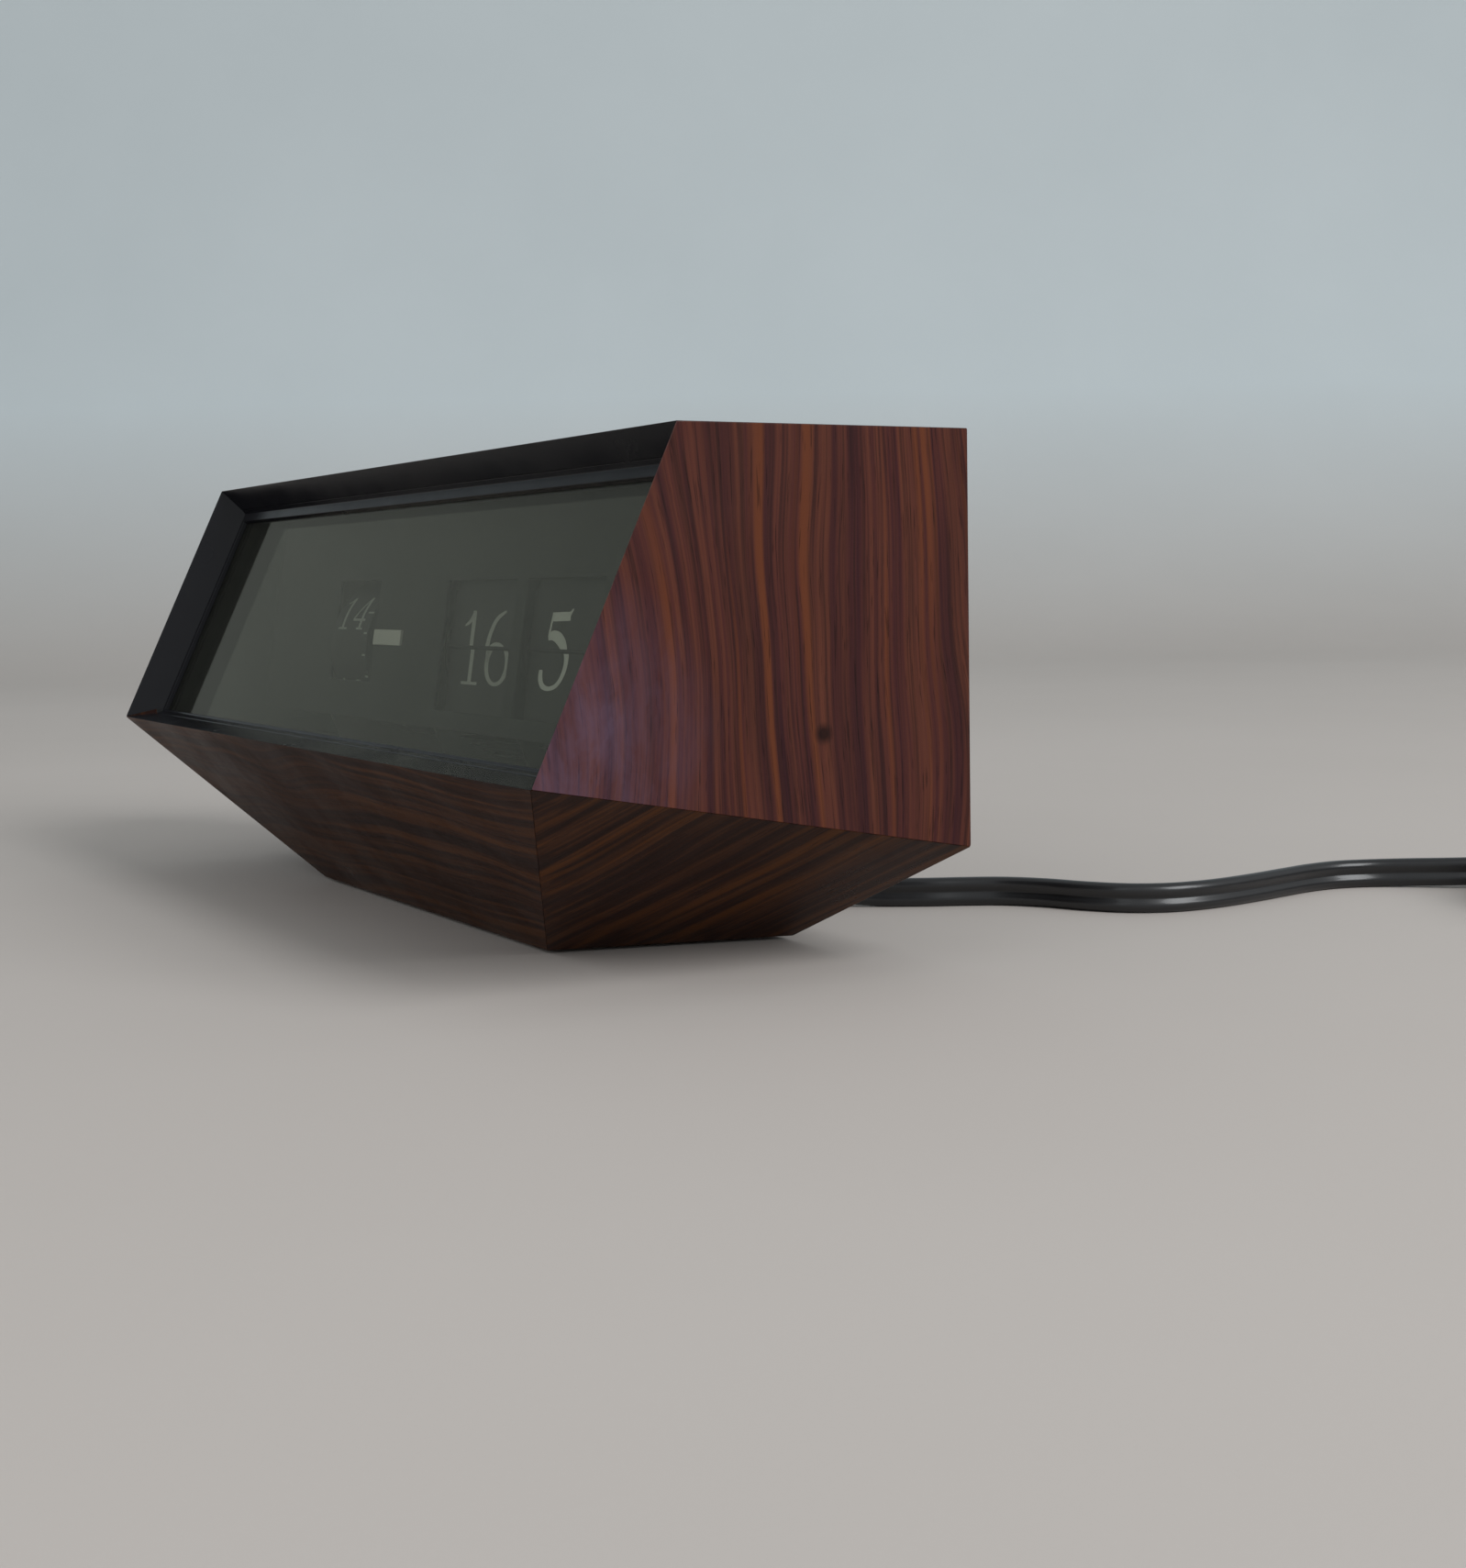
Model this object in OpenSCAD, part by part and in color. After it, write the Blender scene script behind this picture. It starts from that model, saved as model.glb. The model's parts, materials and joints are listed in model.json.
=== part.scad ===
// Table flip clock: faceted veneered case with a raked window, a 24-hour
// leaf display, an alarm number drum and a mains synchronous motor.
// Millimetres. +Z up, the window faces -Y, origin under the middle of the clock.

/* [Case] */
// Width of the case
case_w = 230; // [226:1:240]
// Height of the case above its underside
case_h = 92.5; // [91:0.5:96]
// Depth from the front edge to the back plane
case_d = 84.5; // [84:0.5:86]
// How far the top front edge is set back
top_back = 27; // [25:0.5:28]
// Height of the lower front edge
front_edge_z = 36.7; // [36:0.1:37.5]
// Height of the lower rear edge
rear_edge_z = 20.4; // [20:0.1:21]
// Thickness of the case panels
wall = 5; // [4.6:0.1:5.2]
// Height of the rubber feet below the base
foot_h = 0.8; // [0.6:0.1:1.2]

/* [Window] */
// Depth of the recess from the front plane to the glass
recess = 7.5; // [7.2:0.1:8]
// Thickness of the smoked glass
glass_t = 2; // [1.6:0.1:2]

/* [Movement] */
// Backward lean of the movement, in degrees
lean = 10; // [9:0.5:11]
// Module of the gear teeth in the display train
gear_m = 0.5; // [0.5:0.1:0.5]
// Length of a display leaf from its pivot
leaf_len = 11.8; // [11:0.1:11.8]
// Thickness of a display leaf
leaf_t = 0.2; // [0.16:0.02:0.2]
// Radius of the alarm number drum
alarm_r = 19; // [18:0.5:19]
// Radius of the setting wheels
set_r = 17; // [16.6:0.1:17]

/* [Cord] */
// Width of the flat twin cord
cord_w = 6; // [5.6:0.1:6]
// Thickness of the flat twin cord
cord_t = 3; // [2.8:0.1:3]

/* [Hidden] */
$fn = 48;

hw = case_w / 2;
y_mid = 43.2;
// base footprint: front and rear lines and half widths
base_y0 = 29.7;
base_y1 = 74;
base_hw = 58.5;
rake = atan(top_back / (case_h - front_edge_z));
slant = norm([top_back, case_h - front_edge_z]);

function unit(v) = v / norm(v);
// a plane is [outward unit normal, distance from the case origin]
function pl(n, p) = [unit(n), unit(n) * p];
P_top = pl([0, 0, 1], [0, 0, case_h]);
P_left = pl([-1, 0, 0], [-hw, 0, 0]);
P_right = pl([1, 0, 0], [hw, 0, 0]);
P_front = pl([0, -(case_h - front_edge_z), top_back], [0, 0, front_edge_z]);
P_rear = pl([0, 1, 0], [0, case_d, 0]);
P_lf = pl([0, -front_edge_z, -base_y0], [0, 0, front_edge_z]);
P_lr = pl(cross([0, case_d, rear_edge_z - front_edge_z], [base_hw - hw, base_y0, -front_edge_z]) * -1, [hw, 0, front_edge_z]);
P_right_low = [P_lr[0] * (P_lr[0][2] < 0 ? 1 : -1), P_lr[1] * (P_lr[0][2] < 0 ? 1 : -1)];
P_left_low = [[-P_right_low[0][0], P_right_low[0][1], P_right_low[0][2]], P_right_low[1]];
P_rear_low = pl([0, rear_edge_z, base_y1 - case_d], [0, case_d, rear_edge_z]);
P_base = pl([0, 0, -1], [0, 0, 0]);
WALLS = [P_top, P_left, P_right, P_lf, P_left_low, P_right_low, P_rear_low, P_base];

module in_case() { translate([0, -y_mid, foot_h]) children(); }
// removes everything beyond a plane
module beyond(p) {
  n = p[0];
  rotate([0, acos(n[2]), atan2(n[1], n[0])]) translate([-400, -400, p[1]]) cube([800, 800, 400]);
}
module cell(planes) {
  difference() {
    translate([-150, -20, -20]) cube([300, 140, 140]);
    for (p = planes) beyond(p);
  }
}
function flip(p, t) = [-p[0], -(p[1] - t)];
// the plane midway between two walls, kept on the side nearer wall a
function bis(a, b) = [unit(b[0] - a[0]), (b[1] - a[1]) / norm(b[0] - a[0])];
// a direction given in the plane of the window, turned into the case
function ff(v) = [v[0], cos(90 - rake) * v[1] - sin(90 - rake) * v[2], sin(90 - rake) * v[1] + cos(90 - rake) * v[2]];
// the bevelled rim of a panel: inset per depth, direction of the panel, a point of its outer front edge
function rim(s, n, p) = let(q = pl(ff(n - [0, 0, s]), ff(p) + [0, 0, front_edge_z])) [-q[0], -q[1]];
rim_s = 4.5 / 6.5;
RIM = [rim(3.5 / 6.5, [0, 1, 0], [0, slant + 0.06, 0]), rim(rim_s, [-1, 0, 0], [-hw - 0.06, 0, 0]),
  rim(rim_s, [1, 0, 0], [hw + 0.06, 0, 0]), rim(rim_s, [0, -1, 0], [0, -0.06, 0])];
// one mitred panel of the case
module panel(k) {
  a = WALLS[k];
  cell(concat([a, flip(a, wall), P_rear, k < 4 ? RIM[k] : bis(a, P_front)],
    [for (j = [0:len(WALLS) - 1]) if (j != k) bis(a, WALLS[j])]));
}
module front_frame() { translate([0, 0, front_edge_z]) rotate([90 - rake, 0, 0]) children(); }

module top_panel() { color("#5a3323") in_case() panel(0); }
module left_side_panel() { color("#6a3b28") in_case() panel(1); }
module right_side_panel() { color("#6a3b28") in_case() panel(2); }
module lower_front_panel() { color("#3d2018") in_case() panel(3); }
module lower_left_panel() { color("#3d2018") in_case() panel(4); }
module lower_right_panel() { color("#3d2018") in_case() panel(5); }
module base_panel() {
  color("#3d2018") in_case() difference() {
    panel(7);
    for (p = POSTS) translate([p[0], p[1], -1]) cylinder(r = 1.7, h = 8);
  }
}

// cord outlet through the sloping rear facet
out_x = 48;
out_z = 13.6;
out_y = base_y1 + (case_d - base_y1) * out_z / rear_edge_z;
out_a = atan((case_d - base_y1) / rear_edge_z);
module outlet_frame() { translate([out_x, out_y, out_z]) rotate([-90 - out_a, 0, 0]) children(); }
module lower_rear_panel() {
  color("#3d2018") in_case() difference() {
    panel(6);
    outlet_frame() translate([0, 0, -9]) cylinder(r = 3.6, h = 18);
  }
}

// a tapered opening in the window frame, from depth d0 to d1
module taper(d0, i0, d1, i1) {
  // insets are [sides, bottom, top]
  s = (i1 - i0) / (d1 - d0);
  difference() {
    translate([-hw - 20, -20, -d1]) cube([2 * hw + 40, slant + 40, d1 - d0]);
    beyond(pl([1, 0, -s[0]], [hw - i0[0], 0, -d0]));
    beyond(pl([-1, 0, -s[0]], [-hw + i0[0], 0, -d0]));
    beyond(pl([0, -1, -s[1]], [0, i0[1], -d0]));
    beyond(pl([0, 1, -s[2]], [0, slant - i0[2], -d0]));
  }
}
// everything within the panels between two depths, kept g clear of them
module pane(d0, d1, g) {
  cell(concat([[P_front[0], P_front[1] - d0], flip(P_front, d1)], [for (w = WALLS) [w[0], w[1] - wall - g]]));
}
module front_bezel() {
  color("#0c0c0d") in_case() difference() {
    pane(wall, recess + glass_t, 0);
    front_frame() {
      taper(-1, [-0.7, -0.7, -0.55], 6.5, [4.5, 4.5, 3.5]);
      taper(6.4, [6.5, 5, 5.5], recess + 0.01, [6.9, 5.3, 5.9]);
    }
    pane(recess, recess + glass_t + 1, 0.6);
  }
}
module smoked_glass() { color("#2a302c", 0.6) in_case() pane(recess, recess + glass_t, 0.8); }

// ---- rear ----
cov_y = 79.5;
cov_z0 = 25.5;
cov_z1 = case_h - wall - 0.3;
cov_hw = hw - wall - 0.3;
SCREWS = [[-104, 32], [104, 32], [-104, 81.5], [104, 81.5]];
time_x = 95;
alarm_x = -84;
// a setting wheel's centre in the case frame, y then z
function world(b, u) = [53.8 + cos(lean) * b + sin(lean) * u, 52.1 - sin(lean) * b + cos(lean) * u];
set_c = world(19 * cos(45), 19 * sin(45));
module rear_cover() {
  color("#151515") in_case() difference() {
    translate([-cov_hw, cov_y, cov_z0]) cube([2 * cov_hw, 2, cov_z1 - cov_z0]);
    for (s = SCREWS) translate([s[0], cov_y - 1, s[1]]) rotate([-90, 0, 0]) cylinder(r = 1.7, h = 4);
    for (x = [time_x, alarm_x]) translate([x - 0.8, cov_y - 1, set_c[1] - 16]) cube([5.6, 4, 32]);
    // switch slot
    translate([-43, cov_y - 1, 70]) cube([12, 4, 4.4]);
    // ventilation slots
    for (i = [0:11]) translate([-26 + i * 7, cov_y - 1, 38]) cube([3, 4, 24]);
  }
}
module cover_blocks() {
  color("#8a6a48") in_case() for (s = SCREWS) difference() {
    translate([s[0] > 0 ? 100 : -110, 68, s[1] - 4.3]) cube([10, 11.5, 8.6]);
    translate([s[0], 70, s[1]]) rotate([-90, 0, 0]) cylinder(r = 1.5, h = 10);
  }
}
module screw_y(l, r = 1.5, hr = 2.9) {
  rotate([90, 0, 0]) difference() {
    union() { cylinder(r = r, h = l); translate([0, 0, -1.6]) cylinder(r = hr, h = 1.6); }
    translate([-0.4, -2, -2]) cube([0.8, 4, 1]);
    translate([-2, -0.4, -2]) cube([4, 0.8, 1]);
  }
}
module cover_screws() {
  color("#9a9a9a") in_case() for (s = SCREWS) translate([s[0], cov_y + 2, s[1]]) screw_y(10);
}
POSTS = [[-46, 38], [46, 38], [-56, 66], [56, 66]];
module rubber_feet() {
  color("#1b1b1b") for (p = [[-44, 37], [44, 37], [-60, 66], [60, 66]])
    translate([p[0], p[1] - y_mid, 0]) cylinder(r = 5, h = foot_h);
}

// ---- movement, in its own leaning frame: X across, Y back, Z up the display ----
module lean_frame() { in_case() translate([0, 53.8, 52.1]) rotate([-lean, 0, 0]) children(); }
mask_b = -17.4;
mask_t = 0.8;
win_h = 13.6;
// display windows: left x, right x
min_x0 = 38.7;
min_x1 = 68.9;
hour_x0 = 0.7;
hour_x1 = 30.9;
drum_x0 = -62;
drum_x1 = -40;
module dial_mask() {
  color("#0e0e0e") lean_frame() difference() {
    translate([-106, mask_b - mask_t, -17.5]) cube([212, mask_t, 47]);
    translate([min_x0 - 0.7, mask_b - 3, -win_h]) cube([min_x1 - min_x0 + 1.4, 6, 2 * win_h]);
    translate([hour_x0 - 0.7, mask_b - 3, -win_h]) cube([hour_x1 - hour_x0 + 3.0, 6, 2 * win_h]);
    translate([drum_x0 - 0.6, mask_b - 3, -9]) cube([drum_x1 - drum_x0 + 3.2, 6, 23]);
  }
}
module index_mark() {
  color("white") lean_frame() translate([-36.6, mask_b - mask_t - 0.6, -0.6]) cube([15.6, 0.6, 3.4]);
}
// plates across the movement, standing on the chassis plate
ch_z = 18;
plate_pts = [[world(mask_b, -13)[0], world(mask_b, -13)[1]], [44, ch_z], [76, ch_z], [77.5, 26], [77.5, 70], [72, 81], world(mask_b, 26)];
cs_a = -65; // direction of the counter arbor and of the motor from the main axle
cs_c = 17.5;
set_a = 45;
set_c0 = 19;
RODS = [[13, 26.5], [24.8, -24.2]];
module at_bu(b, u) { translate([0, b, u]) rotate([90, 0, 90]) children(); }
module plate(x0, t, holes) {
  difference() {
    in_case() translate([x0, 0, 0]) rotate([90, 0, 90]) linear_extrude(t) polygon(plate_pts);
    lean_frame() translate([x0 - 1, 0, 0]) {
      at_bu(0, 0) cylinder(r = 1.5, h = t + 2);
      for (r = RODS) at_bu(r[0], r[1]) cylinder(r = 1.5, h = t + 2);
      for (h = holes) at_bu(h[0] * cos(h[1]), h[0] * sin(h[1])) cylinder(r = h[2], h = t + 2);
    }
  }
}
module outer_left_plate() { color("#b9bcbf") plate(-68.6, 1.4, [[set_c0, set_a, 1.56]]); }
module inner_left_plate() { color("#b9bcbf") plate(-7, 1.2, []); }
module mid_plate() { color("#26282a") plate(34.2, 1, [[cs_c, cs_a, 1.56]]); }
module right_plate() { color("#b9bcbf") plate(75.4, 1.4, [[set_c0, set_a, 1.56], [cs_c, cs_a, 3.2]]); }
module chassis_plate() {
  color("#a9acae") in_case() difference() {
    translate([-70, 32, ch_z - 1.6]) cube([148, 43, 1.6]);
    for (p = POSTS) translate([p[0], p[1], ch_z - 3]) cylinder(r = 1.6, h = 5);
    translate([out_x - 5.5, 67, ch_z - 3]) cube([10.4, 12, 5]);
  }
}
module chassis_posts() {
  color("#8f9295") in_case() for (p = POSTS) translate([p[0], p[1], 0]) {
    translate([0, 0, wall]) cylinder(r = 3, h = ch_z - 1.6 - wall);
    translate([0, 0, 0.6]) cylinder(r = 1.6, h = ch_z - 0.4);
  }
}
module main_axle() { color("#c9ccd0") lean_frame() translate([-70, 0, 0]) at_bu(0, 0) cylinder(r = 1.5, h = 150); }
module ring_x(x, w, ro, ri) {
  lean_frame() translate([x, 0, 0]) at_bu(0, 0) difference() { cylinder(r = ro, h = w); translate([0, 0, -1]) cylinder(r = ri, h = w + 2); }
}
module axle_clips() {
  color("#d2d4d6") for (x = [-38.6, -2.2, 73.2]) ring_x(x, 0.8, 3, 1.5);
}
module tie_rods() {
  color("#b8a070") lean_frame() for (r = RODS) translate([-70, r[0], r[1]]) rotate([90, 0, 90]) cylinder(r = 1.5, h = 149);
}
module flip_fingers() {
  color("#a8aaac") lean_frame() for (x = [(min_x0 + min_x1) / 2, (hour_x0 + hour_x1) / 2]) {
    translate([x - 2, mask_b + 0.45, 14.4]) cube([4, 0.35, 9]);
    translate([x - 2, mask_b, 18]) cube([4, 0.45, 5]);
  }
}

// ---- gears ----
function inv(a) = tan(a) - a * PI / 180;
function half_at(r, z, m, bl) =
  let(rb = z * m / 2 * cos(20), a = r > rb ? acos(rb / r) : 0)
  90 / z + (inv(20) - inv(a)) * 180 / PI - bl / (z * m) * 180 / PI;
// outline of one spur gear: z teeth, module m, addendum and dedendum factors, backlash bl
function gear_pts(z, m, ad, de, bl) =
  let(rp = z * m / 2, ro = rp + ad * m, rr = rp - de * m,
    rs = [rr, rp - 0.4 * m, rp + 0.25 * m, ro])
  [for (k = [0:z - 1]) for (i = [0:7])
    let(j = i < 4 ? i : 7 - i, r = rs[j], h = half_at(r, z, m, bl), a = k * 360 / z + (i < 4 ? -h : h))
    [r * cos(a), r * sin(a)]];
module gear_x(x, w, b, u, phase, z, m, ad, de, ri) {
  lean_frame() translate([x, 0, 0]) at_bu(b, u) difference() {
    rotate([0, 0, phase]) linear_extrude(w) polygon(gear_pts(z, m, ad, de, 0.07));
    translate([0, 0, -1]) cylinder(r = ri, h = w + 2);
  }
}
// phase of a gear meshing at direction th with a gear of z1 teeth at phase p1
function phase2(th, p1, z1, z2) = th + 180 - (180 - (th - p1) * z1) / z2;
hub_ri = 1.56;
cs_b = cs_c * cos(cs_a);
cs_u = cs_c * sin(cs_a);
m1 = 2 * cs_c / 60;
m2 = 2 * cs_c / 70;
p_mp = 0;
p_cg = phase2(cs_a, p_mp, 12, 48);
p_cp = 0;
p_hg = cs_a - (180 - (cs_a + 180 - p_cp) * 10) / 60;
p_mg = 0;
p_mot = phase2(cs_a, p_mg, 60, 10);
p_set = phase2(set_a, p_mg, 60, 16);

// leaf k of n on a spool: pivot angle, then lean of the leaf itself
pivot_r = 16;
module leaf(x0, x1, phi, dir, tail = 0) {
  translate([0, -pivot_r * cos(phi), pivot_r * sin(phi)]) rotate([-(dir - 90), 0, 0]) mirror([0, 0, 0])
    union() {
      translate([x0, -leaf_t / 2, -tail]) cube([x1 - x0, leaf_t, leaf_len + tail]);
      translate([x0 - 0.6, -leaf_t / 2, 0.3]) cube([x1 - x0 + 1.2, leaf_t, 0.6]);
    }
}
module leaves(x0, x1, n, last) {
  lean_frame() {
    // the two leaves that are read from reach past their pivots to the split
    tail = pivot_r * sin(360 / n) - 0.4;
    for (i = [1:last]) let(phi = i * 360 / n) leaf(x0, x1, phi, phi + max(78, 90 - phi), i == 1 ? tail : 0);
    leaf(x0, x1, -360 / n, -90, tail);
  }
}
module spool(x0, x1) {
  lean_frame() difference() {
    union() {
      translate([x0 - 0.9, 0, 0]) at_bu(0, 0) cylinder(r = 17, h = 0.8, $fn = 96);
      translate([x1 + 0.1, 0, 0]) at_bu(0, 0) cylinder(r = 17, h = 0.8, $fn = 96);
      translate([x0 - 0.5, 0, 0]) at_bu(0, 0) difference() {
        cylinder(r = 14.4, h = x1 - x0 + 1);
        translate([0, 0, 2]) cylinder(r = 13.4, h = x1 - x0 - 3);
      }
      translate([x0 - 0.9, 0, 0]) at_bu(0, 0) cylinder(r = 3.4, h = x1 - x0 + 1.8);
    }
    translate([x0 - 2, 0, 0]) at_bu(0, 0) cylinder(r = hub_ri, h = x1 - x0 + 4);
    translate([x0 - 2, 0, 0]) at_bu(-16.35, 0) cylinder(r = 0.36, h = x1 - x0 + 4);
  }
}
module falling_leaf(x0, x1) {
  lean_frame() translate([0, -16.35, 0]) union() {
    translate([x0, -0.1, 0]) cube([x1 - x0, leaf_t, leaf_len]);
    translate([x0 - 0.8, 0, 0]) rotate([90, 0, 90]) cylinder(r = 0.3, h = x1 - x0 + 1.6);
  }
}
module minute_spool() { color("#1a1a1a") spool(min_x0, min_x1); }
module minute_leaves() { color("#141414") leaves(min_x0, min_x1, 60, 46); }
module minute_gear() { color("#e8e2cf") gear_x(69.8, 2.6, 0, 0, p_mg, 60, gear_m, 0.85, 1.2, hub_ri); }
module minute_pinion() { color("#e8e2cf") gear_x(35.9, 1.9, 0, 0, p_mp, 12, m1, 1, 1.2, hub_ri); }
module minute_falling_leaf() { color("#141414") falling_leaf(min_x0, min_x1); }
module hour_spool() { color("#1a1a1a") spool(hour_x0, hour_x1); }
module hour_leaves() { color("#141414") leaves(hour_x0, hour_x1, 48, 37); }
module hour_gear() { color("#e8e2cf") gear_x(31.8, 1.8, 0, 0, p_hg, 60, m2, 0.85, 1.2, hub_ri); }
module hour_falling_leaf() { color("#141414") falling_leaf(hour_x0, hour_x1); }
module arbor(x0, x1, b, u, r) { lean_frame() translate([x0, 0, 0]) at_bu(b, u) cylinder(r = r, h = x1 - x0); }
module counter_arbor() { color("#c9ccd0") arbor(31.9, 37.6, cs_b, cs_u, 1.5); }
module counter_gear() { color("#e8e2cf") gear_x(35.9, 1.5, cs_b, cs_u, p_cg, 48, m1, 0.85, 1.2, 1.5); }
module counter_pinion() { color("#e8e2cf") gear_x(32.1, 1.5, cs_b, cs_u, p_cp, 10, m2, 1, 1.1, 1.5); }
module motor_pinion() {
  color("#d9c58a") union() {
    lean_frame() translate([70.4, 0, 0]) at_bu(cs_b, cs_u) rotate([0, 0, p_mot]) linear_extrude(2.2) polygon(gear_pts(10, gear_m, 1, 1.1, 0.07));
    arbor(72.5, 81, cs_b, cs_u, 1.5);
  }
}
module motor_case() {
  color("#c4c0ae") lean_frame() translate([78.4, 0, 0]) at_bu(cs_b, cs_u) difference() {
    union() { cylinder(r = 15, h = 13); translate([0, 0, 13]) cylinder(r = 6, h = 1.5); }
    translate([0, 0, -1]) cylinder(r = 1.56, h = 5);
  }
}
module motor_endplate() {
  color("#b9bcbf") lean_frame() translate([76.8, 0, 0]) at_bu(cs_b, cs_u) difference() {
    union() { cylinder(r = 15, h = 1.6); rotate([0, 0, 20]) translate([-18.5, -3, 0]) cube([37, 6, 1.6]); }
    translate([0, 0, -1]) cylinder(r = 2.4, h = 4);
    for (s = [-1, 1]) rotate([0, 0, 20]) translate([s * 16.7, 0, -1]) cylinder(r = 0.9, h = 4);
  }
}
module motor_screws() {
  color("#9a9a9a") lean_frame() translate([76.8, 0, 0]) at_bu(cs_b, cs_u)
    for (s = [-1, 1]) rotate([0, 0, 20]) translate([s * 16.7, 0, 0]) { cylinder(r = 0.9, h = 1.6); translate([0, 0, 1.6]) cylinder(r = 1.7, h = 1); }
}
module knurled(x, w) {
  lean_frame() translate([x, 0, 0]) at_bu(set_c0 * cos(set_a), set_c0 * sin(set_a)) difference() {
    linear_extrude(w) polygon([for (k = [0:71]) for (q = [0, 1]) let(a = (k + q * 0.5) * 5, r = set_r - q * 0.5) [r * cos(a), r * sin(a)]]);
    translate([0, 0, -1]) cylinder(r = 1.5, h = w + 2);
    translate([0, 0, w - 0.8]) difference() { cylinder(r = 14, h = 2); cylinder(r = 5, h = 3); }
  }
}
module time_set_arbor() {
  color("#d9c58a") union() {
    arbor(72, time_x + 4, set_c0 * cos(set_a), set_c0 * sin(set_a), 1.5);
    lean_frame() translate([70.4, 0, 0]) at_bu(set_c0 * cos(set_a), set_c0 * sin(set_a)) rotate([0, 0, p_set]) linear_extrude(2) polygon(gear_pts(16, gear_m, 1, 1.1, 0.07));
  }
}
module time_set_wheel() { color("#202020") knurled(time_x, 4); }
module alarm_drum() {
  color("#101010") lean_frame() translate([drum_x0, 0, 0]) at_bu(0, 0) difference() {
    union() {
      difference() { cylinder(r = alarm_r, h = drum_x1 - drum_x0, $fn = 96); translate([0, 0, 2]) cylinder(r = alarm_r - 1.6, h = drum_x1 - drum_x0); }
      cylinder(r = 3.4, h = drum_x1 - drum_x0);
    }
    translate([0, 0, -1]) cylinder(r = hub_ri, h = 40);
  }
}
module alarm_gear() { color("#e8e2cf") gear_x(-65.2, 3.2, 0, 0, p_mg, 60, gear_m, 0.85, 1.2, hub_ri); }
module alarm_set_arbor() {
  color("#d9c58a") union() {
    arbor(alarm_x, -66.7, set_c0 * cos(set_a), set_c0 * sin(set_a), 1.5);
    lean_frame() translate([-65.4, 0, 0]) at_bu(set_c0 * cos(set_a), set_c0 * sin(set_a)) rotate([0, 0, p_set]) linear_extrude(2) polygon(gear_pts(16, gear_m, 1, 1.1, 0.07));
    arbor(-66.8, -65.3, set_c0 * cos(set_a), set_c0 * sin(set_a), 1.5);
  }
}
module alarm_set_wheel() { color("#202020") knurled(alarm_x, 4); }
module alarm_slider() {
  color("#c9c9c9") in_case() union() {
    translate([-42, cov_y - 3, 70.2]) cube([6, 6.4, 4]);
    translate([-45, cov_y - 2.4, 68.4]) cube([12, 2.2, 7.6]);
  }
}
module buzzer_coil() {
  color("#8a3a22") in_case() translate([-24, 58, ch_z]) difference() {
    union() { cylinder(r = 9, h = 1.4); translate([0, 0, 1.4]) cylinder(r = 7, h = 11); translate([0, 0, 12.4]) cylinder(r = 9, h = 1.4); }
    translate([0, 0, 13]) cylinder(r = 2.5, h = 3);
  }
}
module buzzer_reed() {
  color("#b9bcbf") in_case() {
    translate([-16.5, 67.5, ch_z]) cube([6, 4, 15.6]);
    translate([-32, 54, ch_z + 15.6]) cube([21.5, 18.5, 0.5]);
  }
}

// ---- cord: flat twin lead on its edge, then a coil with its plug ----
module cord_relief() {
  color("#111111") in_case() outlet_frame() difference() {
    union() {
      translate([0, 0, -7.5]) cylinder(r = 3.5, h = 8);
      cylinder(r = 5.6, h = 1.6);
      translate([0, 0, 1.5]) rotate_extrude() polygon([[0, 0], [4.6, 0], [4.2, 6], [3.4, 18.5], [0, 18.5]]);
      translate([0, 0, -8.9]) cylinder(r = 4.6, h = 1.4);
    }
    translate([-cord_t / 2, -cord_w / 2, -20]) cube([cord_t, cord_w, 24]);
  }
}
ROUTE = [[48, 55, 5.6], [48.5, 57.5, 4.5], [50, 60.6, 3.6], [52.3, 64, 3.2], [55.5, 68, 3], [60, 74, 3], [64, 80.5, 3], [69, 87, 3], [76, 92, 3],
  [84, 95.5, 3], [91, 100, 3], [95.5, 106, 3], [97.5, 113, 3], [98, 121, 3], [97.5, 130, 3], [96.5, 139, 3], [95.8, 147, 3],
  [96.5, 155, 3], [99.5, 162, 3], [104.5, 168, 3.2], [110, 173.5, 3.4], [115, 179.5, 3.6], [118.6, 186, 3.8]];
coil_c = [160, 193];
cord_sec = [[1.5, -1.8], [1.5, 1.8], [1.1, 3], [-1.1, 3], [-1.5, 1.8], [-1.5, -1.8], [-1.1, -3], [1.1, -3]];
function tang(P, i) = unit([for (k = [0:2]) P[min(i + 1, len(P) - 1)][k] - P[max(i - 1, 0)][k]]);
module ribbon(P, S) {
  n = len(S);
  L = len(P);
  pts = [for (i = [0:L - 1]) let(t = tang(P, i), s = unit([t[1], -t[0], 0]), w = cross(s, t)) for (q = S) P[i] + s * q[0] + w * q[1]];
  polyhedron(pts, concat([[for (j = [0:n - 1]) j]],
    [for (i = [0:L - 2]) for (j = [0:n - 1]) [i * n + j, (i + 1) * n + j, (i + 1) * n + (j + 1) % n, i * n + (j + 1) % n]],
    [[for (j = [n - 1:-1:0]) (L - 1) * n + j]]));
}
module cord_lead() { color("#0b0b0b") ribbon(ROUTE, cord_sec); }
module cord_coil() {
  color("#0b0b0b") translate([coil_c[0], coil_c[1], foot_h]) rotate_extrude($fn = 64) translate([24.5, 0]) square([16.5, 12]);
}
module cord_tie() {
  color("#202020") translate([coil_c[0] - 2, coil_c[1] - 42, 0]) difference() {
    cube([4, 18.5, 13.6]);
    translate([-1, 0.7, foot_h - 0.02]) cube([6, 17.1, 12.04]);
  }
}
module plug_body() {
  color("#0d0d0d") translate([coil_c[0] + 39, coil_c[1] - 12, 9.6]) rotate([90, 0, 0]) {
    translate([0, 0, -0.6]) rotate_extrude() polygon([[0, 0], [3.4, 0], [4.6, 20], [0, 20]]);
    translate([-6, -9.5, 19]) cube([12, 19, 17]);
  }
}
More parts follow.
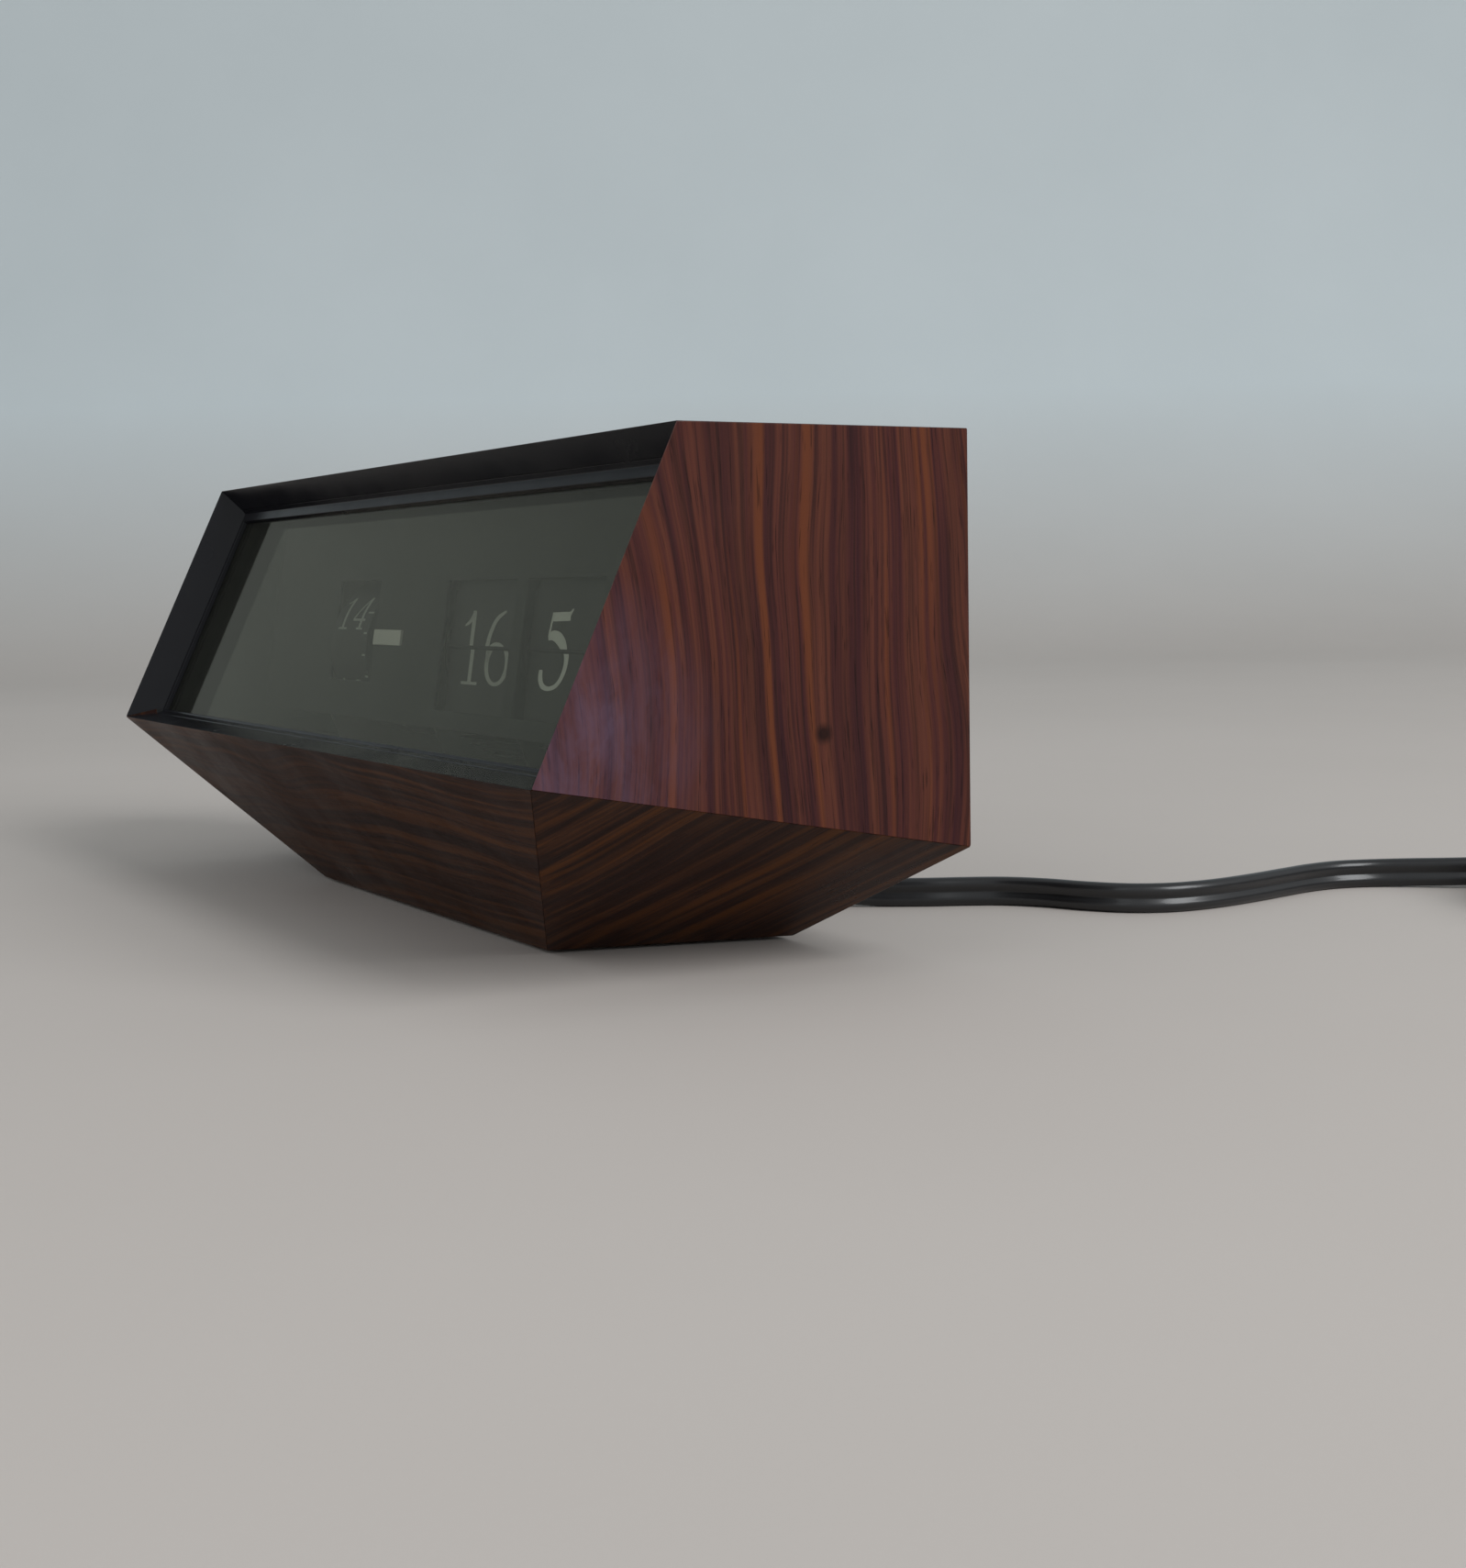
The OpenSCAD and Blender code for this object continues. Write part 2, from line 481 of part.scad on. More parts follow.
module plug_blades() {
  color("#c9b37a") translate([coil_c[0] + 39, coil_c[1] - 48, 9.6]) for (s = [-1, 1])
    translate([-0.75 + 0 * s, -17, s * 6.35 - 3.1]) cube([1.5, 17, 6.2]);
}

top_panel();
left_side_panel();
right_side_panel();
lower_front_panel();
lower_left_panel();
lower_right_panel();
lower_rear_panel();
base_panel();
front_bezel();
smoked_glass();
rear_cover();
cover_blocks();
cover_screws();
rubber_feet();
dial_mask();
index_mark();
chassis_plate();
chassis_posts();
outer_left_plate();
inner_left_plate();
mid_plate();
right_plate();
main_axle();
axle_clips();
tie_rods();
flip_fingers();
motor_case();
motor_endplate();
motor_screws();
buzzer_coil();
buzzer_reed();
minute_spool();
minute_leaves();
minute_gear();
minute_pinion();
minute_falling_leaf();
hour_spool();
hour_leaves();
hour_gear();
hour_falling_leaf();
counter_arbor();
counter_gear();
counter_pinion();
motor_pinion();
time_set_arbor();
time_set_wheel();
alarm_drum();
alarm_gear();
alarm_set_arbor();
alarm_set_wheel();
alarm_slider();
cord_relief();
cord_lead();
cord_coil();
cord_tie();
plug_body();
plug_blades();
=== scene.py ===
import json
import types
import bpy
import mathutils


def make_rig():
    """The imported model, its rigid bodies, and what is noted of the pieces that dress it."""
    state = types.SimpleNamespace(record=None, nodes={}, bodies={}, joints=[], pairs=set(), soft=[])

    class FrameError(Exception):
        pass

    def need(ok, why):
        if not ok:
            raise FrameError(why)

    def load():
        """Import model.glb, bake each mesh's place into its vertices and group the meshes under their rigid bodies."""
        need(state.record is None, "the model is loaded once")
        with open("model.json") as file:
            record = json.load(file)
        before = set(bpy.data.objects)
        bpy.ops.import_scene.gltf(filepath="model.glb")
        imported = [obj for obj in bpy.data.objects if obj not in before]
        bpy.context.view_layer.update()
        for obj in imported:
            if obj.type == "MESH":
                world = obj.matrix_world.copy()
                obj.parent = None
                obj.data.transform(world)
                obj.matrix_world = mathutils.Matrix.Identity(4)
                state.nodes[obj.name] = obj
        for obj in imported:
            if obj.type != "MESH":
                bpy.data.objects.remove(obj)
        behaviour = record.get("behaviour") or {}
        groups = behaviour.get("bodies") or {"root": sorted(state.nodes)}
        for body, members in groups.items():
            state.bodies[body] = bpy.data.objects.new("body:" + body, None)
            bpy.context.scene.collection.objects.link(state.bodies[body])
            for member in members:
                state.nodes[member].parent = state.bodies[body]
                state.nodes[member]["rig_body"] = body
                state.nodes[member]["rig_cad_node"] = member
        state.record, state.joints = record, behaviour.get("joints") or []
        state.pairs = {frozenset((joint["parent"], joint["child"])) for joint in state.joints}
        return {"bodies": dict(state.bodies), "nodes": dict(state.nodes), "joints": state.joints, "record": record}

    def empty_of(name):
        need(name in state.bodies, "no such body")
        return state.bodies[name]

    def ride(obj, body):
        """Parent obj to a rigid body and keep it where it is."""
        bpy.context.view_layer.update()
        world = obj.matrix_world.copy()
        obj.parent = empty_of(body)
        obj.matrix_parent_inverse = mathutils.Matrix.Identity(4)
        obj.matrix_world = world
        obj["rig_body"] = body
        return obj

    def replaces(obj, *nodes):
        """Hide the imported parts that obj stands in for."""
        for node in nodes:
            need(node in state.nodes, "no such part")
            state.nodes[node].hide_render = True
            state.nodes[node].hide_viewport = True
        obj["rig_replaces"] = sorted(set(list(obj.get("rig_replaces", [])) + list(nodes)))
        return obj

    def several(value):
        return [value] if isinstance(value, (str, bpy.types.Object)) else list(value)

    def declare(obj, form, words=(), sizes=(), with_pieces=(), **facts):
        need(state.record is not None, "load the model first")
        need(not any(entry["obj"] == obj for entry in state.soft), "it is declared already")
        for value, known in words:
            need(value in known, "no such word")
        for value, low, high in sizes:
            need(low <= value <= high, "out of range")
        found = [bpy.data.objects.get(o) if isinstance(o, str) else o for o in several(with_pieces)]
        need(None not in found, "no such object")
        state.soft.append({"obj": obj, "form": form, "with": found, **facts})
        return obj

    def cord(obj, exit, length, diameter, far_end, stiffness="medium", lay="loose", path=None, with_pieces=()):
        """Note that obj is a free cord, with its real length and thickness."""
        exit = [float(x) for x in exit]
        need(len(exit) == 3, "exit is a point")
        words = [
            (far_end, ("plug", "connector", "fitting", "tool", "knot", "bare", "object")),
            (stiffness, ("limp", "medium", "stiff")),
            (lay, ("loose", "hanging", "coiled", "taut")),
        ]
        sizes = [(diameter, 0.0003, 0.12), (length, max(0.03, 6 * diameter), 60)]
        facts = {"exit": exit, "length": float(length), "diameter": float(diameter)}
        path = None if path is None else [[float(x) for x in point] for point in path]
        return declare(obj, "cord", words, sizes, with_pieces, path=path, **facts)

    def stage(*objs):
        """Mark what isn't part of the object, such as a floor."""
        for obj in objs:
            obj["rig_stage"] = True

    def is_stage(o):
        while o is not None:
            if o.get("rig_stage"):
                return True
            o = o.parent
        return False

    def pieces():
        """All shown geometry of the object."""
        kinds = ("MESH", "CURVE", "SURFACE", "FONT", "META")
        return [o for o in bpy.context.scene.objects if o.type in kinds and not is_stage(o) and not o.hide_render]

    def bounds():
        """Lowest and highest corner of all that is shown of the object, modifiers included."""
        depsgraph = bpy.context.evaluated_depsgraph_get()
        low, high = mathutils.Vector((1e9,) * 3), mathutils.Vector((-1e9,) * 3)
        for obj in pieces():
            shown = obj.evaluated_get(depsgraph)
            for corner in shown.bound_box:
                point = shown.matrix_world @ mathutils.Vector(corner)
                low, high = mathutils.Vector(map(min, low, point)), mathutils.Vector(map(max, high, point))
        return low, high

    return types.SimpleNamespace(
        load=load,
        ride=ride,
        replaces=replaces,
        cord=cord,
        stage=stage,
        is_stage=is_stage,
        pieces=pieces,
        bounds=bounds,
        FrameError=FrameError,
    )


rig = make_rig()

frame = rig.load()

import bpy, bmesh, math, json
from mathutils import Vector, Matrix, Euler

CAD_BOUNDS = [list(map(float, v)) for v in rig.bounds()]
MM = 0.001
LEAN = math.radians(10)
YMID, FOOT = 43.2, 0.8


def case(x, y, z):
    """case frame (front edge at y 0, underside at z 0), millimetres, to metres in the row frame"""
    return Vector((x * MM, (y - YMID) * MM, (z + FOOT) * MM))


def lean(x, b, u):
    """movement frame: across, back, up the display"""
    y = 53.8 + math.cos(LEAN) * b + math.sin(LEAN) * u
    z = 52.1 - math.sin(LEAN) * b + math.cos(LEAN) * u
    return case(x, y, z)


LEAN_M = Matrix.Translation(case(0, 53.8, 52.1)) @ Matrix.Rotation(-LEAN, 4, "X")

# ------------------------------------------------------------------ camera
yaw, pitch, roll = math.radians(58.33), math.radians(5.99), math.radians(-1.23)
fwd = Vector((-math.sin(yaw) * math.cos(pitch), math.cos(yaw) * math.cos(pitch), -math.sin(pitch)))
right = Vector((math.cos(yaw), math.sin(yaw), 0))
up = right.cross(fwd)
r2 = right * math.cos(roll) + up * math.sin(roll)
u2 = -right * math.sin(roll) + up * math.cos(roll)
cam = bpy.data.cameras.new("camera")
cam.sensor_width = 36
cam.lens = 2151 * 36 / 1709
cam.clip_start = 0.01
camo = bpy.data.objects.new("camera", cam)
bpy.context.scene.collection.objects.link(camo)
M = Matrix((r2, u2, -fwd)).transposed().to_4x4()
M.translation = case(383.6, -129.7, 68.1)
camo.matrix_world = M
bpy.context.scene.camera = camo


# ------------------------------------------------------------------ helpers
def add_mesh(name, verts, faces, body="clock", mat=None, smooth=False):
    me = bpy.data.meshes.new(name)
    me.from_pydata([tuple(v) for v in verts], [], faces)
    me.validate()
    me.update()
    o = bpy.data.objects.new(name, me)
    bpy.context.scene.collection.objects.link(o)
    if smooth:
        for p in me.polygons:
            p.use_smooth = True
    if mat:
        me.materials.append(mat)
    if body:
        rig.ride(o, body)
    return o


def from_bm(bm, name, body="clock", mat=None, smooth=True, angle=35):
    bmesh.ops.recalc_face_normals(bm, faces=bm.faces)
    me = bpy.data.meshes.new(name)
    bm.to_mesh(me)
    bm.free()
    o = bpy.data.objects.new(name, me)
    bpy.context.scene.collection.objects.link(o)
    if smooth:
        me.shade_smooth()
        me.set_sharp_from_angle(angle=math.radians(angle))
    if mat:
        me.materials.append(mat)
    if body:
        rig.ride(o, body)
    return o


def tidy(bm):
    """merge the flat triangles of a CAD solid, leaving faces with holes cut into simple pieces"""
    bmesh.ops.remove_doubles(bm, verts=bm.verts, dist=2e-6)
    area = sum(f.calc_area() for f in bm.faces)
    bmesh.ops.dissolve_limit(bm, angle_limit=math.radians(1.0), verts=bm.verts, edges=bm.edges)
    return area


def refined(node, width, mat, body="clock", segs=2, angle=25, keep_name=None):
    """the CAD solid with its edges broken, so that they catch the light"""
    src = frame["nodes"][node]
    for merge, w in ((True, width), (True, width * 0.4), (False, width * 0.5), (False, 0)):
        bm = bmesh.new()
        bm.from_mesh(src.data)
        if merge:
            area = tidy(bm)
        else:
            bmesh.ops.remove_doubles(bm, verts=bm.verts, dist=2e-6)
            area = sum(f.calc_area() for f in bm.faces)
        if w > 0:
            edges = [e for e in bm.edges if len(e.link_faces) == 2 and e.calc_face_angle(0) > math.radians(angle)]
            bmesh.ops.bevel(bm, geom=edges, offset=w, segments=segs, profile=0.6, affect="EDGES", clamp_overlap=True, offset_type="OFFSET")
        bmesh.ops.triangulate(bm, faces=[f for f in bm.faces if len(f.verts) > 4])
        now = sum(f.calc_area() for f in bm.faces)
        if w == 0 or (0.9 * area < now < 1.012 * area):
            break
        print("refined again without so much change:", node, round(now / area, 3), merge, w)
        bm.free()
    o = from_bm(bm, keep_name or node + "_fine", body, mat, True, 40)
    m = o.modifiers.new("wn", "WEIGHTED_NORMAL")
    m.keep_sharp = True
    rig.replaces(o, node)
    return o


# ------------------------------------------------------------------ materials
class NT:
    def __init__(self, name):
        self.m = bpy.data.materials.new(name)
        self.m.use_nodes = True
        self.t = self.m.node_tree
        self.t.nodes.clear()
        self.out = self.n("ShaderNodeOutputMaterial")
        self.p = self.n("ShaderNodeBsdfPrincipled")
        self.l(self.p.outputs[0], self.out.inputs[0])

    def n(self, typ, **kw):
        nd = self.t.nodes.new(typ)
        for k, v in kw.items():
            setattr(nd, k, v)
        return nd

    def l(self, a, b):
        self.t.links.new(a, b)

    def coord(self, rot=(0, 0, 0), scale=(1, 1, 1), loc=(0, 0, 0)):
        tc = self.n("ShaderNodeTexCoord")
        mp = self.n("ShaderNodeMapping")
        mp.inputs["Rotation"].default_value = rot
        mp.inputs["Scale"].default_value = scale
        mp.inputs["Location"].default_value = loc
        self.l(tc.outputs["Object"], mp.inputs["Vector"])
        return mp.outputs[0]

    def noise(self, vec, scale, detail=4, rough=0.5, dist=0.0, lac=2.0):
        nd = self.n("ShaderNodeTexNoise")
        nd.inputs["Scale"].default_value = scale
        nd.inputs["Detail"].default_value = detail
        nd.inputs["Roughness"].default_value = rough
        nd.inputs["Distortion"].default_value = dist
        self.l(vec, nd.inputs["Vector"])
        return nd.outputs["Fac"]

    def ramp(self, fac, stops, interp="LINEAR"):
        nd = self.n("ShaderNodeValToRGB")
        nd.color_ramp.interpolation = interp
        els = nd.color_ramp.elements
        while len(els) > 1:
            els.remove(els[-1])
        els[0].position = stops[0][0]
        els[0].color = (*stops[0][1], 1) if len(stops[0][1]) == 3 else stops[0][1]
        for pos, c in stops[1:]:
            e = els.new(pos)
            e.color = (*c, 1) if len(c) == 3 else c
        self.l(fac, nd.inputs[0])
        return nd.outputs[0]

    def mix(self, a, b, fac, mode="MIX"):
        nd = self.n("ShaderNodeMix", data_type="RGBA", blend_type=mode)
        if isinstance(fac, (int, float)):
            nd.inputs[0].default_value = fac
        else:
            self.l(fac, nd.inputs[0])
        for i, v in ((6, a), (7, b)):
            if isinstance(v, tuple):
                nd.inputs[i].default_value = (*v, 1) if len(v) == 3 else v
            else:
                self.l(v, nd.inputs[i])
        return nd.outputs[2]

    def math(self, op, a, b=None, clamp=False):
        nd = self.n("ShaderNodeMath", operation=op, use_clamp=clamp)
        for i, v in ((0, a), (1, b)):
            if v is None:
                continue
            if isinstance(v, (int, float)):
                nd.inputs[i].default_value = v
            else:
                self.l(v, nd.inputs[i])
        return nd.outputs[0]

    def maprange(self, v, a0, a1, b0, b1):
        nd = self.n("ShaderNodeMapRange")
        self.l(v, nd.inputs[0])
        for i, q in enumerate((a0, a1, b0, b1)):
            nd.inputs[i + 1].default_value = q
        return nd.outputs[0]

    def bump(self, h, strength=0.2, dist=0.0002):
        nd = self.n("ShaderNodeBump")
        nd.inputs["Strength"].default_value = strength
        nd.inputs["Distance"].default_value = dist
        self.l(h, nd.inputs["Height"])
        self.l(nd.outputs[0], self.p.inputs["Normal"])
        return nd

    def set(self, **kw):
        for k, v in kw.items():
            k = k.replace("_", " ")
            s = self.p.inputs[k]
            if isinstance(v, (int, float, tuple)):
                s.default_value = v if not (isinstance(v, tuple) and len(v) == 3 and len(s.default_value) == 4) else (*v, 1)
            else:
                self.l(v, s)


def basis(normal, grain):
    """rotation that turns points to (across the grain, out of the face, along the grain)"""
    n = Vector(normal).normalized()
    g = Vector(grain)
    g = (g - n * g.dot(n)).normalized()
    return tuple(Matrix((g.cross(n), n, g)).to_euler("XYZ"))


def rosewood(name, rot, dark, mid, light, streak=(0.020, 0.0085, 0.0085), seed=0.0, orange=0.5, coat=0.04, rough=0.32, spec=0.08, knots=(), painted_sheen=None):
    """lacquered rosewood veneer; the grain runs along the local Z of the rotated coordinates"""
    t = NT(name)
    raw = t.coord(rot=rot, loc=(seed, seed * 0.37, 0))
    # slow waver that bends the grain lines
    wn = t.n("ShaderNodeTexNoise")
    wn.inputs["Scale"].default_value = 8
    wn.inputs["Detail"].default_value = 2
    t.l(raw, wn.inputs["Vector"])
    sub = t.n("ShaderNodeVectorMath", operation="SUBTRACT")
    t.l(wn.outputs["Color"], sub.inputs[0])
    sub.inputs[1].default_value = (0.5, 0.5, 0.5)
    ma = t.n("ShaderNodeVectorMath", operation="MULTIPLY_ADD")
    t.l(sub.outputs[0], ma.inputs[0])
    ma.inputs[1].default_value = (0.035, 0.0, 0.0)
    t.l(raw, ma.inputs[2])
    vec = ma.outputs[0]

    def along(k, off):
        mp = t.n("ShaderNodeMapping")
        mp.inputs["Scale"].default_value = (1, 1, k)
        mp.inputs["Location"].default_value = off
        t.l(vec, mp.inputs["Vector"])
        return mp.outputs[0]

    # growth lines, two widths
    base = t.noise(along(0.012, (0, 0, 0)), 560, 4, 0.6, 0.15)
    col = t.ramp(base, [(0.28, dark), (0.46, mid), (0.64, light), (0.78, mid)])
    fine = t.noise(along(0.011, (0.4, 0.1, 0)), 1500, 3, 0.6, 0.1)
    col = t.mix(col, streak, t.math("MULTIPLY", t.ramp(fine, [(0.48, (0, 0, 0)), (0.66, (1, 1, 1))]), 0.62))
    # broad dark purple-brown figure
    fig = t.noise(along(0.09, (0.31, 0, 0)), 90, 3, 0.55, 0.6)
    col = t.mix(col, streak, t.math("MULTIPLY", t.ramp(fig, [(0.48, (0, 0, 0)), (0.68, (1, 1, 1))]), 0.40))
    # narrow orange stripes
    ora = t.noise(along(0.011, (1.7, 0.2, 0)), 350, 2, 0.55, 0.1)
    oram = t.ramp(ora, [(0.58, (0, 0, 0)), (0.70, (1, 1, 1))])
    col = t.mix(col, (light[0] * 1.25, light[1] * 1.15, light[2] * 0.75), t.math("MULTIPLY", oram, orange))
    # pores: short dark dashes along the grain
    por = t.noise(along(0.05, (0, 0.9, 0)), 2300, 2, 0.6, 0.0)
    porm = t.ramp(por, [(0.60, (0, 0, 0)), (0.68, (1, 1, 1))])
    col = t.mix(col, (0.010, 0.004, 0.004), t.math("MULTIPLY", porm, 0.55))
    # a few small dark knots
    for kx, ky, kz, kr in knots:
        d = t.n("ShaderNodeVectorMath", operation="DISTANCE")
        tc = t.n("ShaderNodeTexCoord")
        t.l(tc.outputs["Object"], d.inputs[0])
        d.inputs[1].default_value = (kx, ky, kz)
        km = t.ramp(t.math("DIVIDE", d.outputs["Value"], kr), [(0.35, (1, 1, 1)), (1.0, (0, 0, 0))])
        col = t.mix(col, (0.008, 0.004, 0.004), t.math("MULTIPLY", km, 0.85))
    # painted sheen: a lavender reflection painted into the veneer colour round a point, mottled by noise
    if painted_sheen:
        d = t.n("ShaderNodeVectorMath", operation="DISTANCE")
        tc = t.n("ShaderNodeTexCoord")
        t.l(tc.outputs["Object"], d.inputs[0])
        d.inputs[1].default_value = painted_sheen[:3]
        near = t.ramp(t.math("DIVIDE", d.outputs["Value"], painted_sheen[3]), [(0.15, (1, 1, 1)), (1.0, (0, 0, 0))])
        cloud = t.ramp(t.noise(along(0.3, (0.2, 0.5, 0)), 260, 4, 0.65, 0.4), [(0.35, (0, 0, 0)), (0.65, (1, 1, 1))])
        amount = t.math("MULTIPLY", near, t.math("ADD", t.math("MULTIPLY", cloud, 0.45), 0.18))
        col = t.mix(col, (0.115, 0.078, 0.125), amount)
    # cloudy wear of the lacquer
    mot = t.noise(t.coord(), 45, 5, 0.65)
    t.set(Base_Color=col, Roughness=t.maprange(mot, 0.3, 0.7, rough - 0.06, rough + 0.12))
    t.p.inputs["Coat Weight"].default_value = coat
    t.p.inputs["Coat Roughness"].default_value = 0.2
    t.p.inputs["Specular IOR Level"].default_value = spec
    h = t.math("ADD", t.math("MULTIPLY", porm, -0.7), t.math("MULTIPLY", base, 0.4))
    t.bump(h, 0.2, 0.0001)
    return t.m


def plastic(name, col, rough=0.35, bump=0.05, scale=900, coat=0.0, var=0.25, spec=0.5, metallic=0.0):
    t = NT(name)
    v = t.coord()
    a = t.noise(v, 40, 5, 0.6)
    b = t.noise(v, scale, 3, 0.6)
    c = t.mix(tuple(x * (1 - var) for x in col), tuple(min(1, x * (1 + var)) for x in col), a)
    t.set(Base_Color=c, Roughness=t.maprange(a, 0.3, 0.7, max(0.03, rough - 0.06), rough + 0.08))
    t.p.inputs["Coat Weight"].default_value = coat
    t.p.inputs["Specular IOR Level"].default_value = spec
    t.p.inputs["Metallic"].default_value = metallic
    t.bump(b, bump, 0.0001)
    return t.m


def metal(name, col, rough=0.3, axis_scale=(1, 1, 1), scale=700):
    t = NT(name)
    v = t.coord(scale=axis_scale)
    a = t.noise(v, scale, 4, 0.65)
    b = t.noise(t.coord(), 60, 4, 0.6)
    t.set(Base_Color=t.mix(tuple(x * 0.82 for x in col), col, a), Roughness=t.maprange(b, 0.3, 0.7, rough - 0.08, rough + 0.12))
    t.p.inputs["Metallic"].default_value = 1
    t.bump(a, 0.08, 0.00005)
    return t.m


pi = math.pi
RAKE = math.atan(27 / (92.5 - 36.7))
# colours of the veneer; the lower set, for the downward-facing facets, is about half as bright as the side set as
# painted shade, with a more orange light tone
SIDE_D, SIDE_M, SIDE_L = (0.036, 0.0115, 0.0145), (0.064, 0.0195, 0.0165), (0.106, 0.0335, 0.020)
LOW_SHADED_D, LOW_SHADED_M, LOW_SHADED_L = (0.014, 0.006, 0.004), (0.030, 0.011, 0.006), (0.082, 0.030, 0.011)
knot = case(115, 53.8, 42)
# where the painted lavender reflection sits: the lower front corner of the right side
painted_sheen = case(115, 5, 42)
M_side = rosewood("rosewood_side", basis((1, 0, 0), (0, -0.12, 1)), SIDE_D, SIDE_M, SIDE_L, seed=0.13, orange=0.75, knots=[(knot.x, knot.y, knot.z, 0.0021)], painted_sheen=(painted_sheen.x, painted_sheen.y, painted_sheen.z, 0.03))
M_side_l = rosewood("rosewood_side_left", basis((-1, 0, 0), (0, -0.1, 1)), SIDE_D, SIDE_M, SIDE_L, seed=1.9, orange=0.6)
M_top = rosewood("rosewood_top", basis((0, 0, 1), (1, 0.02, 0)), SIDE_D, SIDE_M, SIDE_L, seed=3.1, orange=0.5)
e1, e2 = Vector((0, 84.5, -16.3)), Vector((-56.5, 29.7, -36.7))
LOW_N = e1.cross(e2)
LOW_N = LOW_N if LOW_N.z < 0 else -LOW_N
# the lower facets take the darker lower palette, which is painted shade
M_lowf = rosewood("rosewood_lower_front", basis((0, -36.7, -29.7), (1, 0, 0.02)), LOW_SHADED_D, LOW_SHADED_M, LOW_SHADED_L, seed=4.4, orange=0.5, coat=0.0, spec=0.04)
M_lows = rosewood("rosewood_lower_side", basis(LOW_N, (0.226, 0.069, 0.111)), LOW_SHADED_D, LOW_SHADED_M, LOW_SHADED_L, seed=5.2, orange=0.8, coat=0.0, spec=0.04)
M_lows_l = rosewood("rosewood_lower_side_left", basis((-LOW_N.x, LOW_N.y, LOW_N.z), (-0.226, 0.069, 0.111)), LOW_SHADED_D, LOW_SHADED_M, LOW_SHADED_L, seed=6.2, orange=0.6, coat=0.0, spec=0.04)
M_rear = rosewood("rosewood_lower_rear", basis((0, 20.4, -10.5), (1, 0, 0)), LOW_SHADED_D, LOW_SHADED_M, LOW_SHADED_L, seed=8.4, orange=0.5, coat=0.0, spec=0.04)
M_base = rosewood("rosewood_base", basis((0, 0, -1), (1, 0, 0)), LOW_SHADED_D, LOW_SHADED_M, LOW_SHADED_L, seed=9.1, orange=0.4, coat=0.0, spec=0.04)
M_black = plastic("polished_black_frame", (0.006, 0.006, 0.008), 0.2, 0.03, 600, coat=0.0, spec=0.16)
M_cover = plastic("textured_black_cover", (0.022, 0.022, 0.023), 0.55, 0.35, 1600)
M_mask = plastic("matt_black_mask", (0.010, 0.011, 0.011), 0.6, 0.1, 1200)
M_leaf = plastic("black_leaf_card", (0.013, 0.013, 0.014), 0.45, 0.06, 1500)
M_white = plastic("warm_white_print", (0.80, 0.80, 0.76), 0.5, 0.03, 1500, var=0.04)
M_steel = metal("zinc_sheet", (0.56, 0.57, 0.58), 0.36, (1, 0.2, 1))
M_zblack = plastic("black_passivated_zinc", (0.020, 0.020, 0.022), 0.45, 0.08, 900, spec=0.25, metallic=0.3)
M_pin = metal("bright_steel", (0.66, 0.66, 0.67), 0.24, (0.1, 1, 1))
M_brass = metal("turned_brass", (0.72, 0.54, 0.27), 0.28, (1, 1, 0.2))
M_acetal = plastic("cream_acetal", (0.72, 0.68, 0.58), 0.42, 0.04, 700, var=0.06)
M_spool = plastic("black_moulded_spool", (0.014, 0.014, 0.015), 0.6, 0.06, 800, spec=0.2)
M_motor = plastic("motor_enamel", (0.42, 0.41, 0.36), 0.38, 0.08, 800, metallic=0.3)
M_wood_raw = rosewood("raw_block_wood", (0, 0, 0), (0.32, 0.2, 0.11), (0.42, 0.28, 0.16), (0.5, 0.35, 0.2), (0.3, 0.19, 0.1), 7.7, 0.1, 0.0, 0.6)
# one white print at three brightnesses: the hours copy and the alarm-drum copy are darkened as painted shade
M_print_hi = plastic("white_print_minutes", (0.78, 0.80, 0.76), 0.55, 0.03, 1500, var=0.06)
M_print_hours_shaded = plastic("white_print_hours_shaded", (0.50, 0.52, 0.49), 0.6, 0.03, 1500, var=0.10)
M_print_drum_shaded = plastic("white_print_alarm_drum_shaded", (0.40, 0.42, 0.41), 0.6, 0.03, 1500, var=0.12)
M_rubber = plastic("black_rubber", (0.02, 0.02, 0.02), 0.75, 0.25, 900)
M_cord = plastic("black_vinyl_cord", (0.012, 0.012, 0.013), 0.32, 0.08, 1100, coat=0.15)
M_knob = plastic("black_setting_wheel", (0.02, 0.02, 0.021), 0.4, 0.12, 900)
M_grey = plastic("pale_grey_slider", (0.55, 0.55, 0.53), 0.42, 0.06, 900, var=0.06)
M_copper = plastic("enamelled_winding", (0.33, 0.11, 0.05), 0.3, 0.3, 1400)


def smoked():
    t = NT("smoked_glass_pane")
    t.t.nodes.remove(t.p)
    v = t.coord()
    n = t.noise(v, 30, 4, 0.6)
    tr = t.n("ShaderNodeBsdfTransparent")
    t.l(t.mix((0.80, 0.81, 0.77), (0.84, 0.85, 0.81), n), tr.inputs[0])
    gl = t.n("ShaderNodeBsdfGlossy")
    gl.inputs["Roughness"].default_value = 0.045
    t.l(t.mix((0.54, 0.515, 0.45), (0.59, 0.565, 0.49), n), gl.inputs[0])
    # a thin dusty film that lifts the black slightly
    df = t.n("ShaderNodeBsdfDiffuse")
    t.l(t.mix((0.20, 0.22, 0.19), (0.26, 0.28, 0.25), n), df.inputs[0])
    fr = t.n("ShaderNodeFresnel")
    # the same share of light is mirrored whichever side of the pane is met
    geo = t.n("ShaderNodeNewGeometry")
    t.l(t.maprange(geo.outputs["Backfacing"], 0, 1, 1.52, 1 / 1.52), fr.inputs["IOR"])
    ms = t.n("ShaderNodeMixShader")
    t.l(fr.outputs[0], ms.inputs[0])
    t.l(tr.outputs[0], ms.inputs[1])
    t.l(gl.outputs[0], ms.inputs[2])
    m2 = t.n("ShaderNodeMixShader")
    m2.inputs[0].default_value = 0.03
    t.l(ms.outputs[0], m2.inputs[1])
    t.l(df.outputs[0], m2.inputs[2])
    t.l(m2.outputs[0], t.out.inputs[0])
    return t.m


M_glass = smoked()

